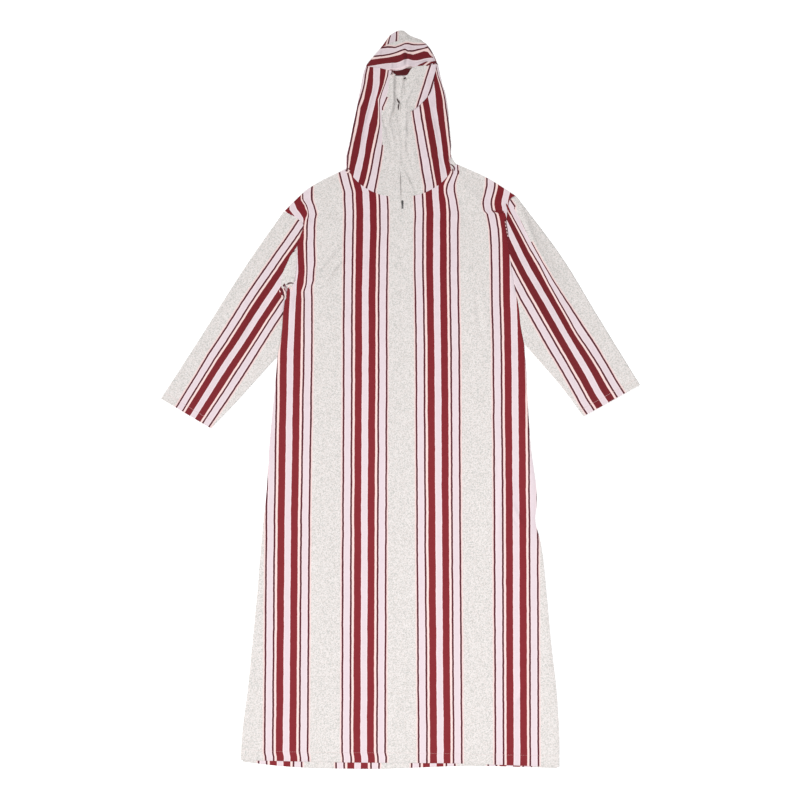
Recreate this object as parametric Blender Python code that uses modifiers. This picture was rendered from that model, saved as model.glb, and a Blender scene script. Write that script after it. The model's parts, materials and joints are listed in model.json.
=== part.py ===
"""A hooded striped robe (an abaya cut like a djellaba), laid flat with its front up.

The back lies on the surface and the front lies on the back, one cloth wall each. A sleeve is a
tube of cloth pressed flat. The hood is one cloth folded over itself, a sheet for each stretch.
Outlines are in millimetres: across from the centre line, + to the right, and up from the hem.
Left and right are those of somebody looking at the front. Heights above the surface are metres.
"""

import math

import bmesh
import bpy
from mathutils import Matrix, Vector

MM = 0.001

# Cloth
WALL = 0.0015  # thickness of one layer
SEAM_GAP = 0.0003  # between two pieces that meet
LOOSE = 0.0003  # how much more the front stands off the back, away from its seams
LAYER = WALL + SEAM_GAP  # from one layer to the next one above
FIRST_TOP = WALL + LAYER  # top of the layer that lies on the back

# Garment
ZIP_LENGTH = 280  # mm of slit down the centre front
HEM_TURN_UP = 24  # mm of the back's hem that is folded up
HEM_TAPER = 6  # mm that the fold stops short of each side
HEM_FLAT = 42  # mm of the front that lies on that fold
HEM_RAMP = 75  # mm over which the front comes down behind it

# Longest side of a mesh face, in mm
FRONT_STEP = 46
BACK_STEP = 90
SLEEVE_STEP = 46
HOOD_STEP = 26

# Sizes of the zip's slider and pull, in metres
SLIDER_WIDTH = 0.0044
SLIDER_ABOVE = 0.0062  # the slider's plate, from the pivot towards the neck
SLIDER_BELOW = 0.0023
SLIDER_PLATE = 0.001
ARCH_WIDTH = 0.0012
ARCH_WALL = 0.001
ARCH_HALF_INSIDE = 0.0009
PIVOT_OVER_PLATE = 0.001
PIVOT_UNDER_ARCH = 0.0008
PULL_WIDTH = 0.0036
PULL_LENGTH = 0.013
PULL_THICKNESS = 0.0009
PULL_WINDOW_WIDTH = 0.002
PULL_WINDOW_END = 0.0034
PULL_TILT = math.radians(6.5)  # its tip leans on the cloth
ZIP_PIVOT = (2, 1329)  # across, up

FOLD_TURNS = [math.radians(angle) for angle in (45, 90, 135)]  # round a pressed edge

# Named points of the outline (across, up)
NECK_LEFT = (-130, 1410)
NECK_FRONT = (0, 1341)
NECK_RIGHT = (128, 1421)
TIP_LEFT = (-275, 1310)
TIP_RIGHT = (268, 1346)
GUSSET_TOP = (-244, 1226)
GUSSET_INNER = (-246, 1146)
GUSSET_OUTER = (-276, 1138)
UNDERARM_LEFT = (-274, 1100)
UNDERARM_RIGHT = (265, 1135)
SLEEVE_END_LEFT = (-291, 970)
SLEEVE_END_RIGHT = (288, 998)
CUFF_OUTER_LEFT = (-565, 870)
CUFF_LOWER_LEFT = (-448, 800)
CUFF_OUTER_RIGHT = (560, 902)
CUFF_LOWER_RIGHT = (427, 828)
BROW_LEFT = (-15, 1629)
BROW_RIGHT = (13, 1627)
FACE_TOP = (7, 1627.5)

# Side seams of the front, from the hem to the lower end of the sleeves
SIDES = (
    # left across, left up, right across, right up
    (-378, 21, 370, 4),
    (-373, 95, 370, 84),
    (-362, 180, 364, 183),
    (-350, 298, 351, 298),
    (-340, 400, 342, 397),
    (-324, 586, 326, 535),
    (-318, 640, 314, 589),
    (-316, 665, 317, 615),
    (-309, 777, 303, 761),
    (-298, 888, 297, 850),
)

# Where the sleeves are sewn to the sides, up to the underarm
UNDERARMS = (
    # left across, left up, right across, right up
    SLEEVE_END_LEFT + SLEEVE_END_RIGHT,
    (-281, 1029, 280, 1040),
    (-279, 1060, 276, 1080),
    UNDERARM_LEFT + UNDERARM_RIGHT,
)

# Armholes of the front, from the underarm to the shoulder's tip
ARMHOLES = (
    # left across, left up, right across, right up
    GUSSET_INNER + (261, 1160),
    GUSSET_TOP + (251, 1230),
    (-238, 1252, 246, 1271),
    (-230, 1278, 248, 1305),
    TIP_LEFT + TIP_RIGHT,
)

SHOULDER_LEFT = (TIP_LEFT, (-222, 1360), NECK_LEFT)
SHOULDER_RIGHT = (NECK_RIGHT, (203, 1387), TIP_RIGHT)
NECKLINE_LEFT = (NECK_LEFT, (-95, 1372), (-62, 1353), NECK_FRONT)
NECKLINE_RIGHT = (NECK_FRONT, (60, 1356), (95, 1378), NECK_RIGHT)
NECKLINE_BACK = (NECK_LEFT, (-60, 1400), (0, 1398), (60, 1404), NECK_RIGHT)
FRONT_HEM = ((-378, 21), (-156, 16), (173, 12), (370, 4))
BACK_HEM = ((-378, 17), (-302, 8), (-86, 0), (173, 7), (370, 2))

# Gussets: the left one's seams, and the edge of the right one, which is tucked under the front
GUSSET_SIDE = (-259, 1184)
GUSSET_SEAM_BODY = (GUSSET_INNER, (-245, 1186), GUSSET_TOP)
GUSSET_SEAM_SLEEVE = (UNDERARM_LEFT, GUSSET_OUTER, GUSSET_SIDE)
GUSSET_RIGHT_EDGE = ((284, 998), (268, 1042), (260, 1088), (253, 1133))

OUTER_EDGE_LEFT = (CUFF_OUTER_LEFT, (-474, 1010), (-357, 1193), TIP_LEFT)
LOWER_EDGE_LEFT = (CUFF_LOWER_LEFT, (-380, 871), (-344, 911), SLEEVE_END_LEFT)
OUTER_EDGE_RIGHT = (CUFF_OUTER_RIGHT, (457, 1069), (379, 1197), TIP_RIGHT)
LOWER_EDGE_RIGHT = (CUFF_LOWER_RIGHT, (379, 893), (320, 962), SLEEVE_END_RIGHT)

# Hood
FACE_EDGE = (NECK_FRONT, (-3, 1405), (-6, 1478), (-6, 1565), FACE_TOP)
HOOD_SIDE_LEFT = (NECK_LEFT, (-129, 1438), (-102, 1539), (-95, 1595), (-80, 1657))
HOOD_SIDE_RIGHT = (NECK_RIGHT, (114, 1438), (109, 1527), (103, 1583), (82, 1658))
PEAK_SIDE_LEFT = ((-77, 1661), (-62, 1677), (-38, 1708))
PEAK_SIDE_RIGHT = ((80, 1663), (72, 1684), (46, 1713))
PEAK_TOP = ((-38, 1708), (-28, 1722), (4, 1734), (18, 1724), (46, 1713))
PEAK_FOOT = (PEAK_SIDE_LEFT[0], (-30, 1660), (4, 1660), (30, 1661), PEAK_SIDE_RIGHT[0])
BROW_EDGE_LEFT = ((-80, 1657), (-56, 1657), (-30, 1656), BROW_LEFT, FACE_TOP)
BROW_EDGE_RIGHT = (FACE_TOP, BROW_RIGHT, (30, 1656), (56, 1659), (82, 1658))
BROW_TOP = ((-30, 1656), (0, 1656), (30, 1656))
CROWN_LOWER = ((-82, 1650), (-51, 1646), (-21, 1641), (7, 1643), (30, 1649), (76, 1660))
CROWN_UPPER = ((-48, 1694), (-30, 1694), (-12, 1694), (4, 1702), (22, 1703), (57, 1703))
CROWN_LEFT = (CROWN_LOWER[0], (-65, 1674), CROWN_UPPER[0])
CROWN_RIGHT = (CROWN_LOWER[-1], (71, 1684), CROWN_UPPER[-1])
FLAP_FOLD = ((20, 1585), (20, 1603), (21, 1620), (22, 1638))
FLAP_EDGE = ((38, 1555), (62, 1580), (79, 1628), (83, 1654))

# Soft folds: middle (across, up), heading in degrees from across, length, half width, height
FRONT_FOLDS = (
    # across, up, heading, length, half width, height
    (224, 643, 90, 420, 55, 2.6),
    (-177, 1189, 58, 190, 45, 2.4),
    (184, 1052, 92, 230, 45, 2.2),
    (166, 1330, -48, 150, 42, 2.4),
    (272, 590, -65, 190, 42, 2.4),
    (225, 256, 2, 320, 42, 1.6),
    (270, 180, 58, 150, 42, 2.2),
    (-200, 560, 91, 760, 70, 2.0),
    (95, 470, 89, 800, 75, 2.0),
    (-60, 900, 88, 500, 60, 1.6),
    (-252, 1085, 80, 120, 34, 2.6),
)
LEFT_SLEEVE_FOLDS = (
    (-400, 1030, 58, 300, 40, 2.4),
    (-300, 1060, 62, 170, 34, 2.8),
    (-455, 900, 57, 190, 36, 1.8),
)
RIGHT_SLEEVE_FOLDS = (
    (333, 1198, -64, 330, 30, 3.0),
    (330, 1075, -60, 260, 38, 2.2),
    (455, 935, -58, 190, 36, 1.8),
)
HOOD_FOLDS = (
    (-60, 1500, 80, 230, 30, 2.2),
    (60, 1490, 98, 230, 30, 2.2),
    (-30, 1590, 84, 130, 24, 2.4),
    (28, 1430, 95, 130, 24, 1.6),
)
CROWN_FOLDS = (
    (8, 1676, 80, 60, 26, 2.4),
    (-40, 1668, 15, 90, 24, 1.6),
)
PEAK_FOLDS = ((2, 1718, 85, 26, 26, 1.6),)

# Colours of the plain stand-in cloth and of the zip
GROUND_CLOTH = (0.76, 0.73, 0.69)
STRIPED_CLOTH = (0.62, 0.42, 0.42)
WIDE_STRIPE = (0.27, 0.03, 0.045)
BLACK_METAL = (0.02, 0.02, 0.022)


def points(rows):
    """The rows of an outline, in mm, as points in metres."""
    return [Vector(row) * MM for row in rows]


def stretch(rows):
    """The left and right edge of a table whose rows hold a point of each."""
    return [Vector(row[:2]) * MM for row in rows], [Vector(row[2:]) * MM for row in rows]


def like(line, other):
    """The line with a point wherever the other one has one, as a share of the way across."""
    start, end = line[0].x, line[-1].x
    made = []
    for point in other:
        share = (point.x - other[0].x) / (other[-1].x - other[0].x)
        across = start + share * (end - start)
        for a, b in zip(line, line[1:]):
            if across <= b.x or b is line[-1]:
                made.append(a.lerp(b, (across - a.x) / (b.x - a.x)))
                break
    return made


def even(line, count):
    """The line as count + 1 points, evenly spaced along its length."""
    lengths = [(b - a).length for a, b in zip(line, line[1:])]
    made = []
    for index in range(count + 1):
        left = sum(lengths) * index / count
        for a, b, length in zip(line, line[1:], lengths):
            if left <= length or b is line[-1]:
                made.append(a.lerp(b, min(1, left / length)))
                break
            left -= length
    return made


def split_both(line, other, step):
    """Two opposite edges, with points added so that no stretch is longer than step."""
    one, two = [line[0]], [other[0]]
    for a, b, c, d in zip(line, line[1:], other, other[1:]):
        count = max(1, math.ceil(max((b - a).length, (d - c).length) / (step * MM)))
        for index in range(1, count + 1):
            one.append(a.lerp(b, index / count))
            two.append(c.lerp(d, index / count))
    return one, two


def inset(loop, gap):
    """A closed outline, counter-clockwise, moved inwards by the gap."""
    made = []
    for before, here, after in zip(loop[-1:] + loop[:-1], loop, loop[1:] + loop[:1]):
        side_in = (here - before).normalized().orthogonal()
        side_out = (after - here).normalized().orthogonal()
        middle = (side_in + side_out).normalized()
        made.append(here + middle * gap / max(middle.dot(side_in), 0.4))
    return made


def patch(bottom, right, top, left, step):
    """Rows of points filling the outline, a Coons patch, half a seam gap inside it."""
    bottom, top = split_both(bottom, top, step)
    left, right = split_both(left, right, step)
    wide, tall = len(bottom) - 1, len(left) - 1
    loop = inset(bottom + right[1:] + top[-2::-1] + left[-2:0:-1], SEAM_GAP / 2)
    bottom = loop[: wide + 1]
    right = loop[wide : wide + tall + 1]
    top = loop[wide + tall : 2 * wide + tall + 1][::-1]
    left = (loop[2 * wide + tall :] + loop[:1])[::-1]
    return [
        [
            coons(bottom, right, top, left, column, row)
            for column in range(wide + 1)
        ]
        for row in range(tall + 1)
    ]


def share_along(line, index):
    """How far along the line the point of that index is, from 0 to 1."""
    lengths = [(b - a).length for a, b in zip(line, line[1:])]
    return sum(lengths[:index]) / sum(lengths)


def coons(bottom, right, top, left, column, row):
    across = (share_along(bottom, column) + share_along(top, column)) / 2
    upward = (share_along(left, row) + share_along(right, row)) / 2
    between_rows = bottom[column].lerp(top[column], upward)
    between_sides = left[row].lerp(right[row], across)
    corners = bottom[0].lerp(bottom[-1], across).lerp(top[0].lerp(top[-1], across), upward)
    return between_rows + between_sides - corners


def fold_height(folds, point):
    """How high the folds lift the cloth at a point, in metres."""
    height = 0
    for across, up, heading, length, half_width, rise in folds:
        away = point - Vector((across, up)) * MM
        run = Vector((math.cos(math.radians(heading)), math.sin(math.radians(heading))))
        along = abs(away.dot(run)) / (length * MM / 2)
        beside = abs(away.cross(run)) / (half_width * MM)
        if along < 1 and beside < 1:
            lift = math.cos(math.pi / 2 * along) * math.cos(math.pi / 2 * beside) ** 2
            height += rise * MM * lift
    return height


def give_material(thing, colour, roughness=0.9, metallic=0.0):
    material = bpy.data.materials.new(thing.name)
    material.use_nodes = True
    shader = material.node_tree.nodes["Principled BSDF"]
    shader.inputs["Base Color"].default_value = (*colour, 1)
    shader.inputs["Roughness"].default_value = roughness
    shader.inputs["Metallic"].default_value = metallic
    thing.data.materials.append(material)


def keep(name, mesh, collection, colour, **finish):
    thing = bpy.data.objects.new(name, mesh)
    collection.objects.link(thing)
    give_material(thing, colour, **finish)
    return thing


def thicken(thing, wall, side):
    """Gives a sheet its wall, above it for side 1 and below it for side -1."""
    solidify = thing.modifiers.new("wall", "SOLIDIFY")
    solidify.thickness = wall
    solidify.offset = side
    solidify.use_rim = True


def sheet(name, rows, height_at, robe, colour, wall=WALL, side=-1, slit=None):
    """A grid shaped to the rows of points, with a height at each, and then given its wall.

    height_at takes a point and whether it is on the sheet's edge. A slit is the column that is
    cut open and the height, in metres up, from which it is.
    """
    tall, wide = len(rows) - 1, len(rows[0]) - 1
    grid = bmesh.new()
    bmesh.ops.create_grid(grid, x_segments=wide, y_segments=tall, size=0.5)
    for vert in grid.verts:
        column = round((vert.co.x + 0.5) * wide)
        row = round((vert.co.y + 0.5) * tall)
        place = rows[row][column]
        on_edge = row in (0, tall) or column in (0, wide)
        vert.co = (*place, height_at(place, on_edge))
    if slit:
        cut_slit(grid, [row[slit[0]] for row in rows], slit[1])
    mesh = bpy.data.meshes.new(name)
    grid.to_mesh(mesh)
    grid.free()
    mesh.shade_smooth()
    mesh.set_sharp_from_angle(angle=math.radians(40))
    thing = keep(name, mesh, robe, colour)
    thicken(thing, wall, side)
    return thing


def cut_slit(grid, line, lowest):
    """Opens the edges along the line by one seam gap, above the lowest height."""
    on_line = [
        vert
        for vert in grid.verts
        if vert.co.y >= lowest and min((vert.co.xy - point).length for point in line) < WALL / 10
    ]
    edges = [edge for edge in grid.edges if edge.verts[0] in on_line and edge.verts[1] in on_line]
    ends = sorted({vert.co.y for edge in edges for vert in edge.verts})
    parted = bmesh.ops.split_edges(grid, edges=edges)["edges"]
    for vert in {vert for edge in parted for vert in edge.verts}:
        if vert.co.y > ends[0]:
            middle = sum(face.calc_center_median().x for face in vert.link_faces)
            to_right = middle / len(vert.link_faces) > vert.co.x
            vert.co.x += SEAM_GAP / 2 if to_right else -SEAM_GAP / 2


def pressed_ring(row, inwards, folds, at_end):
    """One section of a tube pressed flat: lower layer, fold, upper layer, fold."""
    radius = (FIRST_TOP + LOOSE) / 2
    first_way = (row[0] - row[1]).normalized()
    last_way = (row[-1] - row[-2]).normalized()
    flat = [row[0] - first_way * radius] + row[1:-1] + [row[-1] - last_way * radius]
    ring = [(*place, inwards) for place in flat]
    for turn in FOLD_TURNS:
        out = last_way * (radius - inwards) * math.sin(turn)
        ring.append((*(flat[-1] + out), radius - (radius - inwards) * math.cos(turn)))
    for place in reversed(flat):
        lifted = not at_end and place not in (flat[0], flat[-1])
        rise = fold_height(folds, place) if lifted else 0
        ring.append((*place, 2 * radius - inwards + rise))
    for turn in reversed(FOLD_TURNS):
        out = first_way * (radius - inwards) * math.sin(turn)
        ring.append((*(flat[0] + out), radius - (radius - inwards) * math.cos(turn)))
    return ring


def join_rings(tube, rings):
    for lower, upper in zip(rings, rings[1:]):
        for index in range(len(lower)):
            after = (index + 1) % len(lower)
            tube.faces.new((lower[index], lower[after], upper[after], upper[index]))


def sleeve(name, rows, folds, robe, colour):
    """A tube of cloth pressed flat, lofted through its sections, open at the cuff and armhole."""
    tube = bmesh.new()
    outside, inside = [], []
    for index, row in enumerate(rows):
        at_end = index in (0, len(rows) - 1)
        for rings, inwards in ((outside, 0), (inside, WALL)):
            ring = pressed_ring(row, inwards, folds, at_end)
            rings.append([tube.verts.new(place) for place in ring])
    join_rings(tube, outside)
    join_rings(tube, inside)
    join_rings(tube, [outside[0], inside[0]])
    join_rings(tube, [outside[-1], inside[-1]])
    bmesh.ops.recalc_face_normals(tube, faces=tube.faces)
    mesh = bpy.data.meshes.new(name)
    tube.to_mesh(mesh)
    tube.free()
    mesh.shade_smooth()
    mesh.set_sharp_from_angle(angle=math.radians(40))
    keep(name, mesh, robe, colour)


def lying(height, folds=(), under=()):
    """The height of a sheet at its points: its own folds stay inside its edge, those under it don't."""

    def height_at(place, on_edge):
        own = 0 if on_edge else fold_height(folds, place)
        return height + own + fold_height(under, place)

    return height_at


def front_height(place, on_edge):
    """The front's top, which rises over the turned-up hem of the back."""
    over_hem = min(max((HEM_FLAT + HEM_RAMP - place.y / MM) / HEM_RAMP, 0), 1)
    raised = FIRST_TOP + LAYER * (3 - 2 * over_hem) * over_hem**2
    if on_edge:
        return raised
    return raised + LOOSE + fold_height(FRONT_FOLDS, place)


def add_body(robe):
    left, right = stretch(SIDES + UNDERARMS + ARMHOLES)
    shoulders = points(SHOULDER_LEFT + NECKLINE_LEFT[1:] + NECKLINE_RIGHT[1:] + SHOULDER_RIGHT[1:])
    hem = like(points(FRONT_HEM), shoulders)
    left[0], right[0] = hem[0], hem[-1]
    rows = patch(hem, right, shoulders, left, FRONT_STEP)
    zip_top = Vector(NECK_FRONT) * MM
    zip_column = min(range(len(rows[-1])), key=lambda index: (rows[-1][index] - zip_top).length)
    slit = (zip_column, zip_top.y - ZIP_LENGTH * MM)
    sheet("body_front", rows, front_height, robe, STRIPED_CLOTH, slit=slit)

    right = stretch(SIDES)[1] + points(GUSSET_RIGHT_EDGE) + stretch(ARMHOLES)[1]
    back_top = points(SHOULDER_LEFT + NECKLINE_BACK[1:] + SHOULDER_RIGHT[1:])
    back_hem = like(points(BACK_HEM), back_top)
    left[0], right[0] = back_hem[0], back_hem[-1]
    rows = patch(back_hem, right, back_top, left, BACK_STEP)
    sheet("body_back", rows, lying(0), robe, STRIPED_CLOTH, side=1)

    back_hem[0] = back_hem[0] + Vector((HEM_TAPER, 0)) * MM
    back_hem[-1] = back_hem[-1] - Vector((HEM_TAPER, 0)) * MM
    folded = [place + Vector((0, HEM_TURN_UP)) * MM for place in back_hem]
    rows = patch(back_hem, [back_hem[-1], folded[-1]], folded, [back_hem[0], folded[0]], BACK_STEP)
    sheet("hem_back", rows, lying(LAYER), robe, STRIPED_CLOTH, side=1)


def add_sleeves(robe):
    left_hole, right_hole = stretch(ARMHOLES)
    left_under, right_under = stretch(UNDERARMS)

    seam = left_hole[:0:-1] + points((GUSSET_OUTER,)) + left_under[::-1]
    cuff = even(points((CUFF_OUTER_LEFT, CUFF_LOWER_LEFT)), len(seam) - 1)
    rows = patch(cuff, points(LOWER_EDGE_LEFT), seam, points(OUTER_EDGE_LEFT), SLEEVE_STEP)
    sleeve("sleeve_left", rows, LEFT_SLEEVE_FOLDS, robe, STRIPED_CLOTH)

    seam = right_under + right_hole
    cuff = even(points((CUFF_LOWER_RIGHT, CUFF_OUTER_RIGHT)), len(seam) - 1)
    rows = patch(cuff, points(OUTER_EDGE_RIGHT), seam, points(LOWER_EDGE_RIGHT), SLEEVE_STEP)
    sleeve("sleeve_right", rows, RIGHT_SLEEVE_FOLDS, robe, STRIPED_CLOTH)


def add_gussets(robe):
    """The left one is two layers deep. The right one is tucked under the front's edge."""
    bottom = points((UNDERARM_LEFT, GUSSET_INNER))
    top = points((GUSSET_SIDE, GUSSET_TOP))
    inner, outer = points(GUSSET_SEAM_BODY), points(GUSSET_SEAM_SLEEVE)
    rows = patch(bottom, inner, top, outer, FRONT_STEP)
    depth = FIRST_TOP + LOOSE
    sheet("gusset_left", rows, lying(0), robe, GROUND_CLOTH, wall=depth, side=1)

    edge = points(GUSSET_RIGHT_EDGE)
    seam = stretch(UNDERARMS)[1]
    rows = patch([edge[0], seam[0]], seam, [edge[-1], seam[-1]], edge, FRONT_STEP)
    sheet("gusset_right", rows, lying(0), robe, GROUND_CLOTH, side=1)


def add_hood(robe):
    left = points(HOOD_SIDE_LEFT + PEAK_SIDE_LEFT[1:])
    right = points(HOOD_SIDE_RIGHT + PEAK_SIDE_RIGHT[1:])
    rows = patch(points(NECKLINE_BACK), right, points(PEAK_TOP), left, 2 * HOOD_STEP)
    sheet("hood_back", rows, lying(0), robe, STRIPED_CLOTH, side=1)

    first = FIRST_TOP + LOOSE
    top = points(BROW_EDGE_LEFT)
    bottom = even(points(NECKLINE_LEFT), len(top) - 1)
    rows = patch(bottom, points(FACE_EDGE), top, points(HOOD_SIDE_LEFT), HOOD_STEP)
    sheet("hood_left", rows, lying(first, HOOD_FOLDS), robe, STRIPED_CLOTH)

    top = points(BROW_EDGE_RIGHT)
    bottom = even(points(NECKLINE_RIGHT), len(top) - 1)
    rows = patch(bottom, points(HOOD_SIDE_RIGHT), top, points(FACE_EDGE), HOOD_STEP)
    sheet("hood_right", rows, lying(first, HOOD_FOLDS), robe, STRIPED_CLOTH)

    bottom, top = points((BROW_LEFT, FACE_TOP, BROW_RIGHT)), points(BROW_TOP)
    rows = patch(bottom, [bottom[-1], top[-1]], top, [bottom[0], top[0]], HOOD_STEP)
    sheet("hood_brow", rows, lying(first), robe, WIDE_STRIPE)

    left, right = points(PEAK_SIDE_LEFT), points(PEAK_SIDE_RIGHT)
    rows = patch(points(PEAK_FOOT), right, points(PEAK_TOP), left, HOOD_STEP)
    sheet("hood_peak", rows, lying(first, PEAK_FOLDS), robe, GROUND_CLOTH)

    second = first + LAYER
    left, right = points(CROWN_LEFT), points(CROWN_RIGHT)
    rows = patch(points(CROWN_LOWER), right, points(CROWN_UPPER), left, HOOD_STEP)
    sheet("hood_crown", rows, lying(second, under=CROWN_FOLDS + HOOD_FOLDS), robe, STRIPED_CLOTH)

    bottom, top = points((FLAP_FOLD[0], FLAP_EDGE[0])), points((FLAP_FOLD[-1], FLAP_EDGE[-1]))
    rows = patch(bottom, points(FLAP_EDGE), top, points(FLAP_FOLD), HOOD_STEP)
    sheet("hood_flap", rows, lying(second, under=HOOD_FOLDS), robe, GROUND_CLOTH)


def block(name, size, centre):
    """A box as a mesh datablock, its corners in metres round the centre."""
    box = bmesh.new()
    bmesh.ops.create_cube(box, size=1, matrix=Matrix.LocRotScale(centre, None, size))
    mesh = bpy.data.meshes.new(name)
    box.to_mesh(mesh)
    box.free()
    return mesh


def cut(thing, name, size, centre, cutters, operation="DIFFERENCE"):
    """Cuts a box out of a thing, or adds one to it."""
    tool = bpy.data.objects.new(name, block(name, size, centre))
    tool.location = thing.location
    tool.rotation_euler = thing.rotation_euler
    tool.display_type = "WIRE"
    tool.hide_render = True
    cutters.objects.link(tool)
    boolean = thing.modifiers.new(name, "BOOLEAN")
    boolean.operation = operation
    boolean.object = tool


def round_corners(thing, width):
    bevel = thing.modifiers.new("rounded", "BEVEL")
    bevel.width = width
    bevel.segments = 2
    bevel.limit_method = "ANGLE"


def add_zip(robe, cutters):
    """A slider with an arch on it, and a pull whose cross bar turns inside the arch."""
    across, up = ZIP_PIVOT
    plate_bottom = FIRST_TOP + LOOSE + SEAM_GAP
    plate_top = plate_bottom + SLIDER_PLATE
    pivot = Vector((across * MM, up * MM, plate_top + PIVOT_OVER_PLATE))

    length = SLIDER_ABOVE + SLIDER_BELOW
    middle = Vector((0, (SLIDER_ABOVE - SLIDER_BELOW) / 2, -PIVOT_OVER_PLATE - SLIDER_PLATE / 2))
    mesh = block("zip_slider", (SLIDER_WIDTH, length, SLIDER_PLATE), middle)
    slider = keep("zip_slider", mesh, robe, BLACK_METAL, roughness=0.35, metallic=0.6)
    slider.location = pivot
    bottom = -PIVOT_OVER_PLATE - SLIDER_PLATE / 2
    top = PIVOT_UNDER_ARCH + ARCH_WALL
    long = 2 * (ARCH_HALF_INSIDE + ARCH_WALL)
    arch = (ARCH_WIDTH, long, top - bottom)
    cut(slider, "arch", arch, Vector((0, 0, (top + bottom) / 2)), cutters, "UNION")
    inside = (2 * ARCH_WIDTH, 2 * ARCH_HALF_INSIDE, PIVOT_OVER_PLATE + PIVOT_UNDER_ARCH)
    centre = Vector((0, 0, (PIVOT_UNDER_ARCH - PIVOT_OVER_PLATE) / 2))
    cut(slider, "arch_inside", inside, centre, cutters)

    start = -PULL_THICKNESS / 2
    middle = Vector((0, -(PULL_LENGTH + start) / 2, 0))
    mesh = block("zip_pull", (PULL_WIDTH, PULL_LENGTH - start, PULL_THICKNESS), middle)
    pull = keep("zip_pull", mesh, robe, BLACK_METAL, roughness=0.35, metallic=0.6)
    pull.location = pivot
    pull.rotation_euler = (PULL_TILT, 0, 0)
    window_start = PULL_THICKNESS / 2
    window = (PULL_WINDOW_WIDTH, PULL_WINDOW_END - window_start, 4 * PULL_THICKNESS)
    centre = Vector((0, -(PULL_WINDOW_END + window_start) / 2, 0))
    cut(pull, "pull_window", window, centre, cutters)
    round_corners(pull, PULL_THICKNESS / 4)


def centre_on_origin(robe):
    """Moves everything so that the origin is under the middle of the garment's outline."""
    bpy.context.view_layer.update()
    depsgraph = bpy.context.evaluated_depsgraph_get()
    corners = []
    for thing in robe.objects:
        shown = thing.evaluated_get(depsgraph)
        corners += [shown.matrix_world @ Vector(corner) for corner in shown.bound_box]
    middle_x = (min(c.x for c in corners) + max(c.x for c in corners)) / 2
    middle_y = (min(c.y for c in corners) + max(c.y for c in corners)) / 2
    anchor = bpy.data.objects.new("garment", None)
    robe.objects.link(anchor)
    for thing in list(bpy.data.objects):
        if thing is not anchor:
            thing.parent = anchor
    anchor.location = (-middle_x, -middle_y, 0)


def build():
    for thing in list(bpy.data.objects):
        bpy.data.objects.remove(thing)
    robe = bpy.data.collections.new("hooded_robe")
    cutters = bpy.data.collections.new("cutters")
    bpy.context.scene.collection.children.link(robe)
    bpy.context.scene.collection.children.link(cutters)
    add_body(robe)
    add_sleeves(robe)
    add_gussets(robe)
    add_hood(robe)
    add_zip(robe, cutters)
    centre_on_origin(robe)


build()
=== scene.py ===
"""A hooded striped robe, laid flat with its front up: the looks, on the frame that part.py made.

Outlines are in millimetres of the garment, as (across, up): across from its centre line, up from
the hem. Left and right are those of somebody looking at the front.
"""

import json
import math

import bmesh
import bpy
import numpy as np
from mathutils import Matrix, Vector, noise


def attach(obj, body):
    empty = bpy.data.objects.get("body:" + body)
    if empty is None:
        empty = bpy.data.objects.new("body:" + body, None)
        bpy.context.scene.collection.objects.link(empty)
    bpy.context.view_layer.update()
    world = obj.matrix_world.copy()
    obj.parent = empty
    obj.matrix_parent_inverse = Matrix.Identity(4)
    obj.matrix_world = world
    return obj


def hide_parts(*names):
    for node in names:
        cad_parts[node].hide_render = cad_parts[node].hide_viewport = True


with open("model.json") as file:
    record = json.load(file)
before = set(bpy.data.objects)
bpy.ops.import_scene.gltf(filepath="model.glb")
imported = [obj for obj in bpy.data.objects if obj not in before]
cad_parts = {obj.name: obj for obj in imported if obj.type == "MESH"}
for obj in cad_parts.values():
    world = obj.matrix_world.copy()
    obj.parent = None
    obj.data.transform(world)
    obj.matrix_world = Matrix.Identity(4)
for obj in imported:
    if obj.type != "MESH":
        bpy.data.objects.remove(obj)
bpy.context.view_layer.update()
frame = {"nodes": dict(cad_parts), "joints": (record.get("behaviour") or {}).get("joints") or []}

# The view. The robe lies on a plain pale floor and is seen from straight above, through a long
# lens, in soft studio light that comes mostly from above its left shoulder.
PHOTO_WIDTH = 1.88  # metres of floor across the picture
LENS = 100
SENSOR = 36
PICTURE_MIDDLE = (-0.001, -0.0004)
FLOOR_SIZE = 40
FLOOR_DROP = 0.0002  # keeps the floor clear of the lowest layer of cloth
ROOM_LIGHT = 0.5
KEY_LIGHT, KEY_SOFTNESS = 1.75, 20  # the softness in degrees
KEY_PLACE = (-2.4, 1.5, 2.6)
LOW_LIGHT, LOW_SIZE = 72, 2.4  # a wide lamp over the lower half
LOW_PLACE, LOW_TARGET = (0.1, -1.0, 2.9), (0, -0.3, 0)


def add(name, data):
    thing = bpy.data.objects.new(name, data)
    bpy.context.scene.collection.objects.link(thing)
    return thing


def aim(thing, place, target=(0, 0, 0)):
    """Puts a lamp or camera at a place, looking at the target with +Y up."""
    thing.location = place
    away = Vector(target) - Vector(place)
    thing.rotation_euler = away.to_track_quat("-Z", "Y").to_euler()


def new_finish(name, roughness=0.5):
    material = bpy.data.materials.new(name)
    material.use_nodes = True
    shader = material.node_tree.nodes["Principled BSDF"]
    shader.inputs["Roughness"].default_value = roughness
    return material, shader


camera = add("camera", bpy.data.cameras.new("camera"))
camera.data.lens = LENS
camera.data.sensor_width = SENSOR
camera.location = (*PICTURE_MIDDLE, PHOTO_WIDTH * LENS / SENSOR)
bpy.context.scene.camera = camera

floor_mesh = bpy.data.meshes.new("floor")
half = FLOOR_SIZE / 2
corners = [(-half, -half, 0), (half, -half, 0), (half, half, 0), (-half, half, 0)]
floor_mesh.from_pydata(corners, [], [(0, 1, 2, 3)])
floor = add("floor", floor_mesh)
floor.location.z = -FLOOR_DROP
floor_paint, floor_shader = new_finish("floor_paint", 0.9)
floor_shader.inputs["Base Color"].default_value = (0.95, 0.95, 0.95, 1)
floor_mesh.materials.append(floor_paint)

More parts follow.
